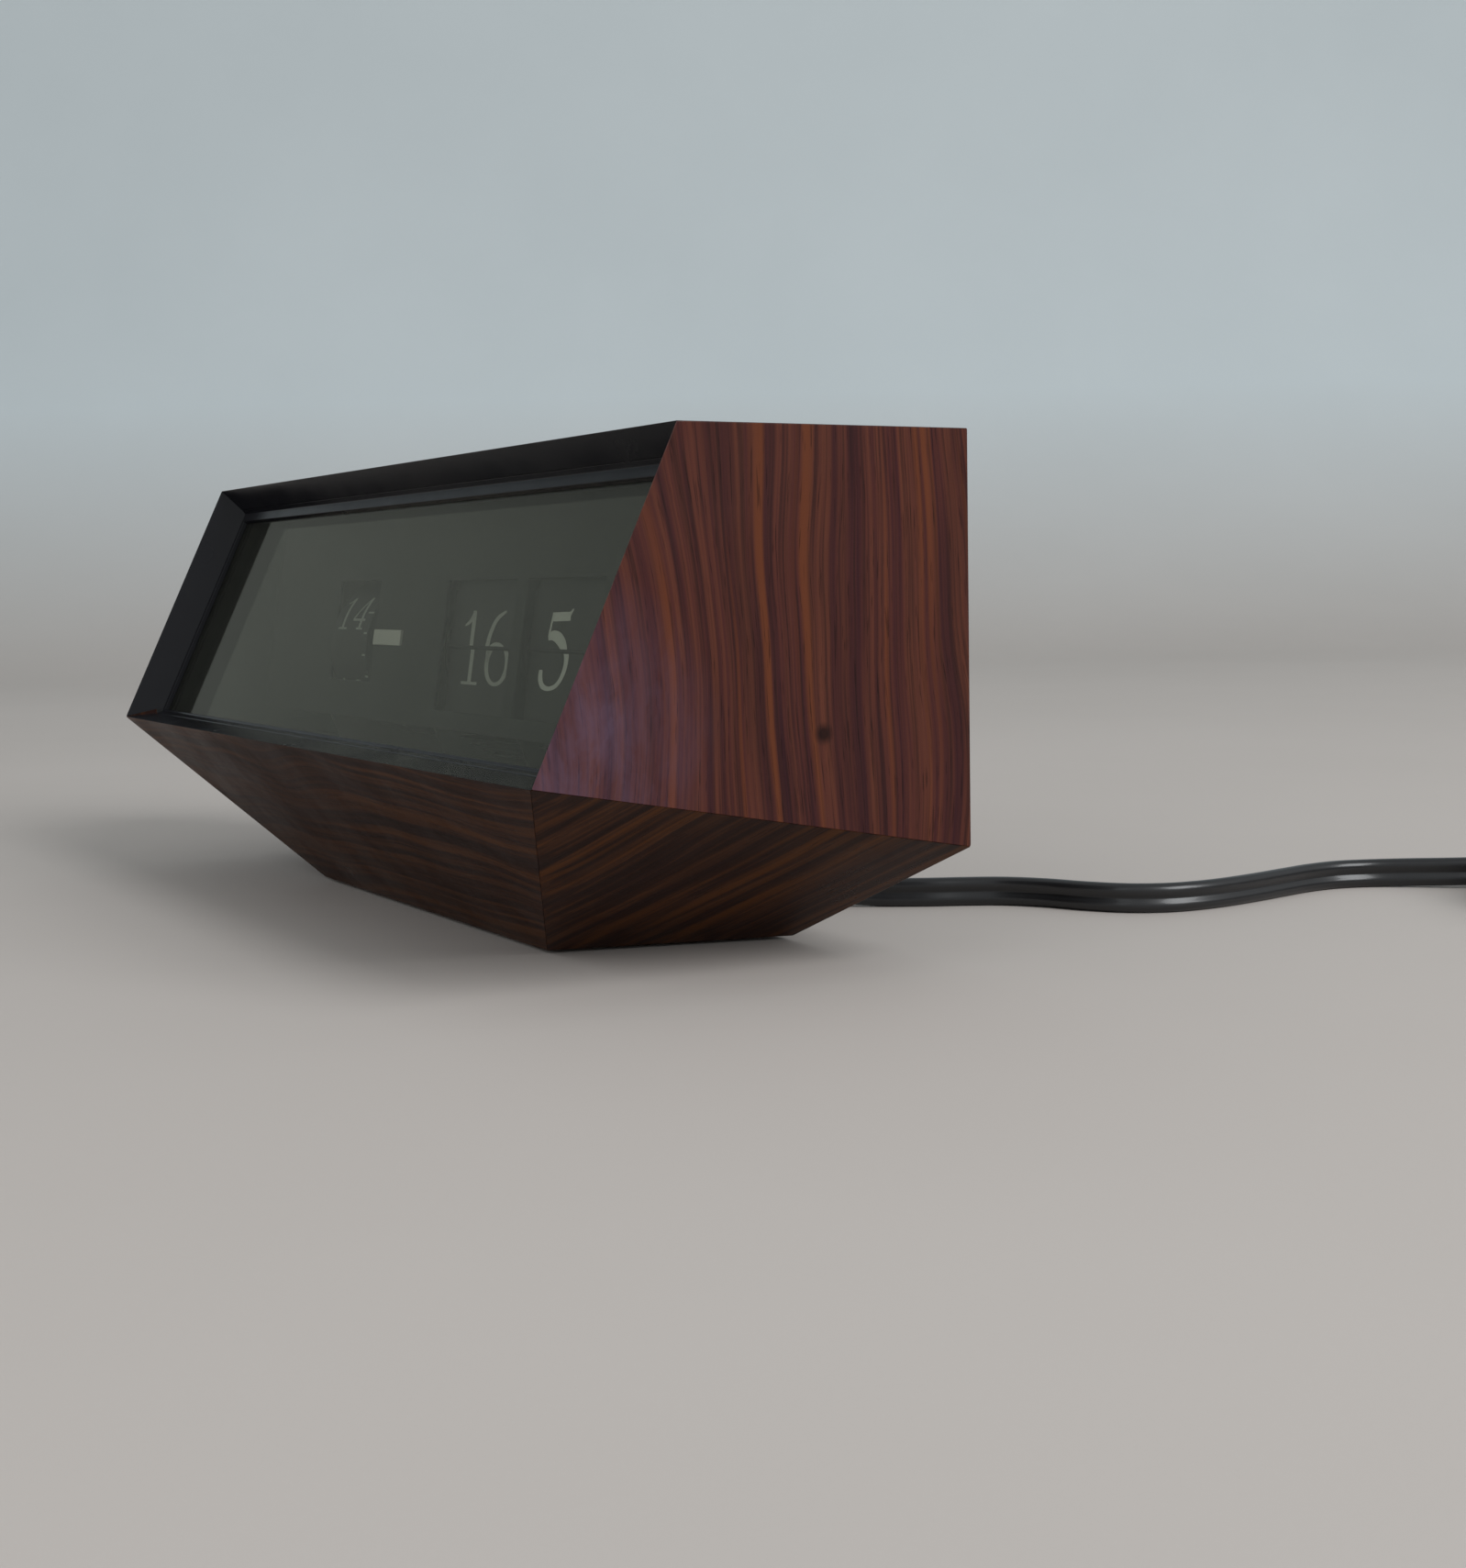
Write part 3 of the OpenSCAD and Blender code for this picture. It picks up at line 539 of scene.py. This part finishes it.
# ------------------------------------------------------------------ cord
ROUTE = [[48, 55, 5.6], [48.5, 57.5, 4.5], [50, 60.6, 3.6], [52.3, 64, 3.2], [55.5, 68, 3], [60, 74, 3], [64, 80.5, 3], [69, 87, 3], [76, 92, 3],
  [84, 95.5, 3], [91, 100, 3], [95.5, 106, 3], [97.5, 113, 3], [98, 121, 3], [97.5, 130, 3], [96.5, 139, 3], [95.8, 147, 3],
  [96.5, 155, 3], [99.5, 162, 3], [104.5, 168, 3.2], [110, 173.5, 3.4], [115, 179.5, 3.6], [118.6, 186, 3.8]]
COIL = (160, 193)


def catmull(P, step):
    out = []
    n = len(P)
    for i in range(n - 1):
        p0, p1, p2, p3 = P[max(i - 1, 0)], P[i], P[i + 1], P[min(i + 2, n - 1)]
        k = max(1, int((p2 - p1).length / step))
        for j in range(k):
            t = j / k
            out.append(0.5 * ((2 * p1) + (p2 - p0) * t + (2 * p0 - 5 * p1 + 4 * p2 - p3) * t * t + (3 * p1 - p0 - 3 * p2 + p3) * t ** 3))
    out.append(P[-1])
    return out


lead = catmull([Vector(p) for p in ROUTE], 1.6)
coil = []
# seven and a half turns, clockwise from above: four wide on the lower layer, then back on the upper one
z_lo, z_hi = 3.85, 9.75
N = 64
stop = 7 * N + N // 2
for k in range(stop + 1):
    tt = k / N
    ang = math.pi - 2 * math.pi * tt
    if tt < 3.6:
        r = 38.6 - 3.9 * min(tt, 3.0)
        z = z_lo
    elif tt < 4.0:
        s = (tt - 3.6) / 0.4
        s = s * s * (3 - 2 * s)
        r = 26.9
        z = z_lo + (z_hi - z_lo) * s
    else:
        r = 26.9 + 3.9 * max(0.0, tt - 4.6) if tt < 7.6 else 38.6
        z = z_hi
    coil.append(Vector((COIL[0] + r * math.cos(ang), COIL[1] + r * math.sin(ang), z)))
end = coil[-1]
tail = [end + Vector((0, -q, -0.02 * q)) for q in (2, 4, 6, 8, 10, 12, 14)]
path = lead[:-1] + catmull([lead[-1], coil[1]], 1.6)[1:-1] + coil[1:] + tail


def flat_twin(name, P, mat):
    """two conductors side by side, standing on edge, with the groove between them"""
    sec = []
    for cz in (1.5, -1.5):
        rng = range(-60, 241, 30) if cz > 0 else range(120, 421, 30)
        for a in rng:
            sec.append((1.5 * math.cos(math.radians(a)) , cz + 1.5 * math.sin(math.radians(a))))
    # keep the web between the conductors open as a shallow groove
    sec = [(x, z) for x, z in sec if not (abs(x) < 0.35 and abs(z) < 0.6)]
    n = len(sec)
    verts, faces = [], []
    for i, p in enumerate(P):
        t = (P[min(i + 1, len(P) - 1)] - P[max(i - 1, 0)]).normalized()
        s = Vector((t.y, -t.x, 0)).normalized()
        w = s.cross(t)
        for q in sec:
            verts.append((p + s * q[0] + w * q[1]) * MM)
    for i in range(len(P) - 1):
        for j in range(n):
            faces.append((i * n + j, i * n + (j + 1) % n, (i + 1) * n + (j + 1) % n, (i + 1) * n + j))
    faces.append(tuple(range(n)))
    faces.append(tuple((len(P) - 1) * n + j for j in range(n - 1, -1, -1)))
    o = add_mesh(name, verts, faces, "clock", mat, True)
    bm = bmesh.new()
    bm.from_mesh(o.data)
    bmesh.ops.recalc_face_normals(bm, faces=bm.faces)
    bm.to_mesh(o.data)
    bm.free()
    o.data.set_sharp_from_angle(angle=math.radians(70))
    return o


cord = flat_twin("mains_cord", path, M_cord)
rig.replaces(cord, "cord_lead", "cord_coil")
clen = sum((path[i + 1] - path[i]).length for i in range(len(path) - 1)) * MM
print("cord length", round(clen, 3))


def lathe(name, prof, M4, mat, body="clock", seg=48, smooth_angle=40):
    """prof: (radius, height) in mm, revolved about local Z of the 4x4"""
    bm = bmesh.new()
    rings = []
    for r, h in prof:
        if r < 1e-6:
            rings.append([bm.verts.new(M4 @ Vector((0, 0, h * MM)))])
        else:
            rings.append([bm.verts.new(M4 @ Vector((r * MM * math.cos(a), r * MM * math.sin(a), h * MM))) for a in [2 * math.pi * k / seg for k in range(seg)]])
    for a, b in zip(rings, rings[1:]):
        for k in range(seg):
            if len(a) == 1 and len(b) == 1:
                continue
            if len(a) == 1:
                bm.faces.new((a[0], b[k], b[(k + 1) % seg]))
            elif len(b) == 1:
                bm.faces.new((a[k], a[(k + 1) % seg], b[0]))
            else:
                bm.faces.new((a[k], a[(k + 1) % seg], b[(k + 1) % seg], b[k]))
    return from_bm(bm, name, body, mat, True, smooth_angle)


# strain relief: flange, then a sleeve with moulded rings
out_y = 74 + 10.5 * 13.6 / 20.4
out_a = math.atan(10.5 / 20.4)
OUT = Matrix.Translation(case(48, out_y, 13.6)) @ Matrix.Rotation(-math.pi / 2 - out_a, 4, "X")
prof = [(0, -0.2), (5.2, 0.0), (5.6, 0.4), (5.6, 1.3), (5.2, 1.6), (4.6, 1.7)]
for k in range(7):
    h = 2.6 + k * 2.2
    r = 4.6 - 0.165 * (h - 1.5) * 0.45
    prof += [(r, h), (r, h + 1.0), (r - 0.55, h + 1.25), (r - 0.55, h + 1.9)]
prof += [(3.45, 18.2), (3.3, 19.3), (2.6, 19.9), (0, 19.9)]
relief = lathe("strain_relief", prof, OUT, M_cord)
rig.replaces(relief, "cord_relief")

# plug: moulded body, and a ringed sleeve
PL = Matrix.Translation(Vector((COIL[0] + 39, COIL[1] - 12, 9.6)) * MM) @ Matrix.Rotation(math.pi / 2, 4, "X")
prof = [(0, -0.5), (2.9, -0.5), (3.4, 0.0)]
for k in range(6):
    h = 1.4 + k * 2.9
    r = 3.4 + 1.2 * h / 20
    prof += [(r, h), (r, h + 1.5), (r - 0.5, h + 1.8), (r - 0.45, h + 2.6)]
prof += [(4.5, 18.9), (4.6, 19.4), (0, 19.4)]
sleeve = lathe("plug_sleeve", prof, PL, M_cord)


def plug_shell():
    bm = bmesh.new()
    rows = [(19.0, 4.6, 7.4), (20.2, 5.3, 8.9), (22, 5.75, 9.35), (26, 5.9, 9.45), (31, 5.9, 9.45), (34.6, 5.8, 9.35), (35.7, 5.3, 8.9), (36.0, 4.6, 8.2)]
    rings = []
    for h, a, b in rows:
        ring = []
        for k in range(40):
            t = 2 * math.pi * k / 40
            e = 0.42
            cx, sx = math.cos(t), math.sin(t)
            x = a * math.copysign(abs(cx) ** e, cx)
            y = b * math.copysign(abs(sx) ** e, sx)
            ring.append(bm.verts.new(PL @ (Vector((x, y, h)) * MM)))
        rings.append(ring)
    for a, b in zip(rings, rings[1:]):
        for k in range(40):
            bm.faces.new((a[k], a[(k + 1) % 40], b[(k + 1) % 40], b[k]))
    bm.faces.new(rings[0][::-1])
    bm.faces.new(rings[-1])
    return from_bm(bm, "plug_shell", "clock", M_cord, True, 50)


plug = plug_shell()
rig.replaces(plug, "plug_body")
blades = refined("plug_blades", 0.0003, M_brass)
tie = refined("cord_tie", 0.00025, M_rubber)
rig.cord(cord, exit=tuple(path[0] * MM), length=round(clen, 2), diameter=0.006, path=[tuple(p * MM) for p in path],
        far_end="plug", stiffness="medium", lay="coiled", with_pieces=[relief, sleeve, plug, blades, tie])

# ------------------------------------------------------------------ case
def paint_rim(o, n, s):
    """black lacquer on the bevelled rim that faces the window"""
    q = math.pi / 2 - RAKE
    v = Vector((-n[0], -n[1], s))
    v = Vector((v.x, math.cos(q) * v.y - math.sin(q) * v.z, math.sin(q) * v.y + math.cos(q) * v.z)).normalized()
    o.data.materials.append(M_black)
    k = len(o.data.materials) - 1
    for p in o.data.polygons:
        if p.normal.dot(v) > 0.93:
            p.material_index = k


def line_inside(o, normal):
    """matt black lining on the inner face of a panel"""
    v = -Vector(normal).normalized()
    o.data.materials.append(M_mask)
    k = len(o.data.materials) - 1
    for p in o.data.polygons:
        if p.normal.dot(v) > 0.97:
            p.material_index = k


RS = 4.5 / 6.5
paint_rim(refined("right_side_panel", 0.00018, M_side), (1, 0, 0), RS)
paint_rim(refined("left_side_panel", 0.00018, M_side_l), (-1, 0, 0), RS)
paint_rim(refined("top_panel", 0.00018, M_top), (0, 1, 0), 3.5 / 6.5)
paint_rim(refined("lower_front_panel", 0.00018, M_lowf), (0, -1, 0), RS)
refined("lower_right_panel", 0.0002, M_lows)
refined("lower_left_panel", 0.0002, M_lows_l)
refined("lower_rear_panel", 0.0002, M_rear)
refined("base_panel", 0.0002, M_base)
for nm, nv in (("right_side_panel", (1, 0, 0)), ("left_side_panel", (-1, 0, 0)), ("top_panel", (0, 0, 1)), ("lower_front_panel", (0, -36.7, -29.7)),
               ("lower_right_panel", LOW_N), ("lower_left_panel", (-LOW_N.x, LOW_N.y, LOW_N.z)), ("lower_rear_panel", (0, 20.4, -10.5)), ("base_panel", (0, 0, -1))):
    line_inside(bpy.data.objects[nm + "_fine"], nv)
refined("front_bezel", 0.00015, M_black)
refined("smoked_glass", 0.0002, M_glass)
refined("rear_cover", 0.0003, M_cover)
refined("cover_blocks", 0.0004, M_wood_raw)
refined("cover_screws", 0.0002, M_pin)
refined("rubber_feet", 0.0002, M_rubber)
refined("dial_mask", 0.00015, M_mask)
refined("index_mark", 0.0001, M_white)
for n in ("outer_left_plate", "inner_left_plate", "right_plate", "chassis_plate", "motor_endplate"):
    refined(n, 0.00015, M_steel)
refined("mid_plate", 0.00015, M_zblack)
for n in ("chassis_posts", "main_axle", "axle_clips", "flip_fingers", "motor_screws", "buzzer_reed"):
    refined(n, 0.0001, M_pin if n != "buzzer_reed" else M_steel)
refined("tie_rods", 0.0002, M_brass)
refined("motor_case", 0.0006, M_motor)
refined("buzzer_coil", 0.0003, M_copper)
refined("minute_spool", 0.0002, M_spool, "minute_drum")
refined("hour_spool", 0.0002, M_spool, "hour_drum")
refined("alarm_slider", 0.0003, M_grey, "alarm_switch")
refined("time_set_wheel", 0.00012, M_knob, "time_setter")
refined("alarm_set_wheel", 0.00012, M_knob, "alarm_setter")


def paint(node, mat):
    o = frame["nodes"][node]
    o.data.materials.clear()
    o.data.materials.append(mat)


for n in ("minute_gear", "minute_pinion", "hour_gear", "counter_gear", "counter_pinion", "alarm_gear"):
    paint(n, M_acetal)
for n in ("motor_pinion", "time_set_arbor", "alarm_set_arbor"):
    paint(n, M_brass)
paint("counter_arbor", M_pin)
for n in ("minute_leaves", "hour_leaves", "minute_falling_leaf", "hour_falling_leaf"):
    paint(n, M_leaf)
paint("alarm_drum", M_leaf)

# ------------------------------------------------------------------ numerals
def oval(cx, cy, rx, ry, thin, extra):
    return ("loop", [(cx + rx * math.cos(a), cy + ry * math.sin(a), thin + extra * math.cos(a) ** 2) for a in [2 * math.pi * k / 16 for k in range(16)]])


# strokes of a 12 x 15.4 mm figure: x, y, width of the stroke
GLYPH = {
    "0": [oval(6, 7.7, 4.7, 7.25, 0.8, 1.3)],
    "1": [("line", [(5.6, 0.4, 1.9), (5.6, 15.2, 1.9)]), ("curve", [(5.4, 14.3, 1.6), (3.6, 12.9, 1.0), (1.5, 12.1, 0.4)]), ("line", [(1.7, 0.35, 0.7), (9.4, 0.35, 0.7)])],
    "2": [("curve", [(1.5, 11.4, 1.9), (1.9, 13.5, 1.4), (5.0, 15.0, 0.8), (8.6, 14.1, 1.6), (9.9, 11.3, 2.1), (8.0, 7.6, 1.5), (4.0, 3.6, 0.9), (1.4, 1.2, 0.8)]),
          ("line", [(1.0, 1.0, 1.9), (10.4, 1.0, 1.9)]), ("line", [(10.3, 1.6, 0.6), (10.9, 3.8, 0.3)])],
    "3": [("curve", [(1.4, 12.0, 1.9), (2.2, 14.2, 1.3), (5.2, 15.0, 0.8), (8.6, 13.9, 1.6), (9.3, 11.4, 2.1), (7.9, 9.0, 1.5), (5.0, 8.2, 0.7)]),
          ("curve", [(5.0, 8.2, 0.7), (8.7, 7.5, 1.4), (10.8, 4.8, 2.2), (9.6, 1.9, 1.7), (6.2, 0.5, 0.9), (2.8, 0.8, 1.1), (1.1, 2.4, 1.9), (1.2, 3.6, 1.6)])],
    "4": [("line", [(8.0, 15.1, 0.8), (0.9, 4.6, 0.8)]), ("line", [(0.5, 4.3, 0.9), (11.5, 4.3, 0.9)]), ("line", [(8.3, 15.3, 2.0), (8.3, 0.4, 2.0)]), ("line", [(5.5, 0.35, 0.7), (11.1, 0.35, 0.7)])],
    "5": [("line", [(3.9, 14.1, 1.9), (11.4, 14.3, 1.9)]), ("line", [(11.0, 14.6, 1.1), (12.3, 15.7, 0.25)]), ("line", [(4.2, 14.4, 0.8), (3.3, 10.2, 0.75)]),
          ("curve", [(3.2, 10.3, 1.5), (5.2, 10.6, 2.1), (7.8, 10.0, 2.7), (10.0, 8.5, 2.6), (10.9, 6.2, 1.9), (10.3, 3.6, 1.5), (8.2, 1.4, 1.1), (5.0, 0.5, 0.9), (2.2, 1.0, 1.4), (1.0, 2.4, 1.9), (0.9, 4.0, 1.5)])],
    "6": [oval(6.1, 4.5, 4.75, 4.0, 0.85, 1.15), ("curve", [(1.35, 4.6, 2.0), (1.55, 7.6, 1.95), (2.7, 10.9, 1.7), (5.0, 13.6, 1.2), (8.8, 15.1, 0.6)])],
    "7": [("line", [(1.2, 14.3, 1.9), (11.2, 14.3, 1.9)]), ("line", [(1.4, 14.3, 0.6), (1.0, 11.9, 0.35)]), ("curve", [(10.8, 14.0, 0.8), (7.8, 9.2, 1.3), (5.8, 4.6, 2.0), (5.3, 0.2, 2.4)])],
    "8": [oval(6, 11.5, 3.7, 3.3, 0.8, 1.1), oval(6, 4.3, 4.6, 3.9, 0.8, 1.3)],
}


def stroke_pts(kind, P):
    if kind == "line":
        (x0, y0, w0), (x1, y1, w1) = P
        n = max(2, int(math.hypot(x1 - x0, y1 - y0) / 0.8))
        return [Vector((x0 + (x1 - x0) * k / n, y0 + (y1 - y0) * k / n, w0 + (w1 - w0) * k / n)) for k in range(n + 1)], False
    if kind == "loop":
        Q = [Vector(q) for q in P]
        n = len(Q)
        out = []
        for i in range(n):
            p0, p1, p2, p3 = Q[i - 1], Q[i], Q[(i + 1) % n], Q[(i + 2) % n]
            for j in range(4):
                t = j / 4
                out.append(0.5 * ((2 * p1) + (p2 - p0) * t + (2 * p0 - 5 * p1 + 4 * p2 - p3) * t * t + (3 * p1 - p0 - 3 * p2 + p3) * t ** 3))
        return out, True
    Q = [Vector(q) for q in P]
    out = []
    for i in range(len(Q) - 1):
        p0, p1, p2, p3 = Q[max(i - 1, 0)], Q[i], Q[i + 1], Q[min(i + 2, len(Q) - 1)]
        for j in range(6):
            t = j / 6
            out.append(0.5 * ((2 * p1) + (p2 - p0) * t + (2 * p0 - 5 * p1 + 4 * p2 - p3) * t * t + (3 * p1 - p0 - 3 * p2 + p3) * t ** 3))
    out.append(Q[-1])
    return out, False


INK = 0.03


def print_text(name, text, x0, pitch, sx, sy, sw, place, mat, body, clip=None):
    """figures as a thin raised print; place maps (x, y, height) in mm to the model"""
    bm = bmesh.new()
    for n, ch in enumerate(text):
        for kind, P in GLYPH[ch]:
            pts, closed = stroke_pts(kind, P)
            m = len(pts)
            rows = []
            for i in range(m):
                a = pts[(i - 1) % m] if closed else pts[max(i - 1, 0)]
                b = pts[(i + 1) % m] if closed else pts[min(i + 1, m - 1)]
                d = Vector(((b.x - a.x) * sx, (b.y - a.y) * sy)).normalized()
                w = pts[i].z * sw / 2
                cx, cy = x0 + n * pitch + pts[i].x * sx, (pts[i].y - 7.7) * sy
                rows.append([bm.verts.new((cx - d.y * w, cy + d.x * w, 0)), bm.verts.new((cx + d.y * w, cy - d.x * w, 0)),
                             bm.verts.new((cx + d.y * w, cy - d.x * w, INK)), bm.verts.new((cx - d.y * w, cy + d.x * w, INK))])
            rng = range(m if closed else m - 1)
            for i in rng:
                A, B = rows[i], rows[(i + 1) % m]
                for j in range(4):
                    bm.faces.new((A[j], A[(j + 1) % 4], B[(j + 1) % 4], B[j]))
            if not closed:
                bm.faces.new(rows[0][::-1])
                bm.faces.new(rows[-1])
    if clip:
        lo, hi = clip
        for y, nrm in ((lo, (0, -1, 0)), (hi, (0, 1, 0))):
            if y is None:
                continue
            g = bmesh.ops.bisect_plane(bm, geom=bm.verts[:] + bm.edges[:] + bm.faces[:], plane_co=(0, y, 0), plane_no=nrm, clear_outer=True, clear_inner=False)
            ed = [e for e in g["geom_cut"] if isinstance(e, bmesh.types.BMEdge)]
            if ed:
                bmesh.ops.holes_fill(bm, edges=ed, sides=0)
    for v in bm.verts:
        v.co = place(v.co.x, v.co.y, v.co.z)
    return from_bm(bm, name, body, mat, False)


def number_pair(tag, now_txt, next_txt, x0, pitch, n, drum, leaf, mat):
    bf = 16 * math.cos(2 * math.pi / n) + 0.1
    E = 0.006
    up, dn = (0.35, None), (None, -0.42)
    print_text(tag + "_number_upper", now_txt, x0, pitch, 1, 1, 0.9, lambda x, y, h: lean(x, -16.45 - E - h, y), mat, leaf, up)
    print_text(tag + "_number_lower", now_txt, x0, pitch, 1, 1, 0.9, lambda x, y, h: lean(x, -bf - E - h, y), mat, drum, dn)
    print_text(tag + "_next_lower", next_txt, x0, pitch, 1, 1, 0.9, lambda x, y, h: lean(x, -16.25 + E + h, -y), mat, leaf, dn)
    print_text(tag + "_next_upper", next_txt, x0, pitch, 1, 1, 0.9, lambda x, y, h: lean(x, -bf - E - h, y), mat, drum, (0.45, None))


number_pair("minute", "5", "6", 43.0, 11.7, 60, "minute_drum", "minute_leaf", M_print_hi)
number_pair("hour", "16", "17", 5.9, 11.7, 48, "hour_drum", "hour_leaf", M_print_hours_shaded)


def drum_place(deg0):
    def f(x, y, h):
        a = math.radians(deg0) + y / 19.0
        r = 19.004 + h
        return lean(x, -r * math.cos(a), r * math.sin(a))
    return f


for i, hr in enumerate((14, 18, 22, 2, 6, 10)):
    txt = str(hr)
    w = 8.6
    x0 = -60.3 if len(txt) == 2 else -55.6
    print_text("alarm_number_%d" % hr, txt, x0, w, 0.68, 0.54, 0.62, drum_place(20.6 - 60 * i), M_print_drum_shaded, "alarm_number_drum")


def drum_ticks():
    bm = bmesh.new()
    for k in range(24):
        L = 3.2 if k % 4 == 0 else 1.8
        f = drum_place(20.6 - 15 * k)
        q = [f(-40.6 - L, -0.22, 0), f(-40.6, -0.22, 0), f(-40.6, 0.22, 0), f(-40.6 - L, 0.22, 0)]
        t = [f(-40.6 - L, -0.22, INK), f(-40.6, -0.22, INK), f(-40.6, 0.22, INK), f(-40.6 - L, 0.22, INK)]
        a = [bm.verts.new(v) for v in q]
        b = [bm.verts.new(v) for v in t]
        bm.faces.new(a[::-1])
        bm.faces.new(b)
        for j in range(4):
            bm.faces.new((a[j], a[(j + 1) % 4], b[(j + 1) % 4], b[j]))
    return from_bm(bm, "alarm_hour_ticks", "alarm_number_drum", M_print_drum_shaded, False)


drum_ticks()

# ------------------------------------------------------------------ stage
def stage():
    t = NT("pale_floor")
    v = t.coord()
    a = t.noise(v, 3, 4, 0.6)
    sep = t.n("ShaderNodeSeparateXYZ")
    t.l(v, sep.inputs[0])
    hgt = t.maprange(sep.outputs[2], 0.0, 0.25, 0.0, 1.0)
    warm = t.mix((0.50, 0.455, 0.42), (0.56, 0.51, 0.475), a)
    cool = t.mix((0.60, 0.66, 0.68), (0.68, 0.74, 0.76), a)
    t.set(Base_Color=t.mix(warm, cool, hgt), Roughness=0.85)
    t.bump(t.noise(v, 900, 3, 0.6), 0.08, 0.0002)
    bm = bmesh.new()
    prof = [(-3.0, 0.0)] + [(1.1, 0.0)] + [(1.1 + 0.6 * math.sin(a), 0.6 - 0.6 * math.cos(a)) for a in [math.radians(10 * k) for k in range(1, 10)]] + [(1.7, 3.2)]
    # the sweep rises behind the clock as the camera sees it
    d = Vector((-math.sin(yaw), math.cos(yaw), 0))
    s = Vector((d.y, -d.x, 0))
    rows = []
    for q, h in prof:
        rows.append([bm.verts.new(d * q + s * w + Vector((0, 0, h))) for w in (-3.5, 3.5)])
    for a, b in zip(rows, rows[1:]):
        bm.faces.new((a[0], a[1], b[1], b[0]))
    o = from_bm(bm, "studio_sweep", None, t.m, True, 60)
    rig.stage(o)


stage()


def area(name, loc, target, size, power, col=(1, 1, 1)):
    l = bpy.data.lights.new(name, "AREA")
    l.shape = "RECTANGLE"
    l.size, l.size_y = size
    l.energy = power
    l.color = col
    o = bpy.data.objects.new(name, l)
    bpy.context.scene.collection.objects.link(o)
    o.location = loc
    o.rotation_euler = (Vector(target) - Vector(loc)).to_track_quat("-Z", "Y").to_euler()
    return o


area("key", (1.7, 0.5, 1.2), (0, 0, 0.05), (1.1, 1.1), 28, (0.96, 0.98, 1.0))
area("fill", (0.5, -1.9, 1.3), (0, 0, 0.05), (2.2, 1.6), 8, (0.95, 0.98, 1.0))
w = bpy.data.worlds.new("studio")
bpy.context.scene.world = w
w.use_nodes = True
w.node_tree.nodes["Background"].inputs[0].default_value = (0.80, 0.84, 0.86, 1)
w.node_tree.nodes["Background"].inputs[1].default_value = 0.54
bpy.context.scene.view_settings.view_transform = "Standard"

now = [list(map(float, v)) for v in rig.bounds()]
try:
    with open("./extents.json", "w") as f:
        json.dump({"cad": CAD_BOUNDS, "visual": now}, f)
except OSError:
    pass
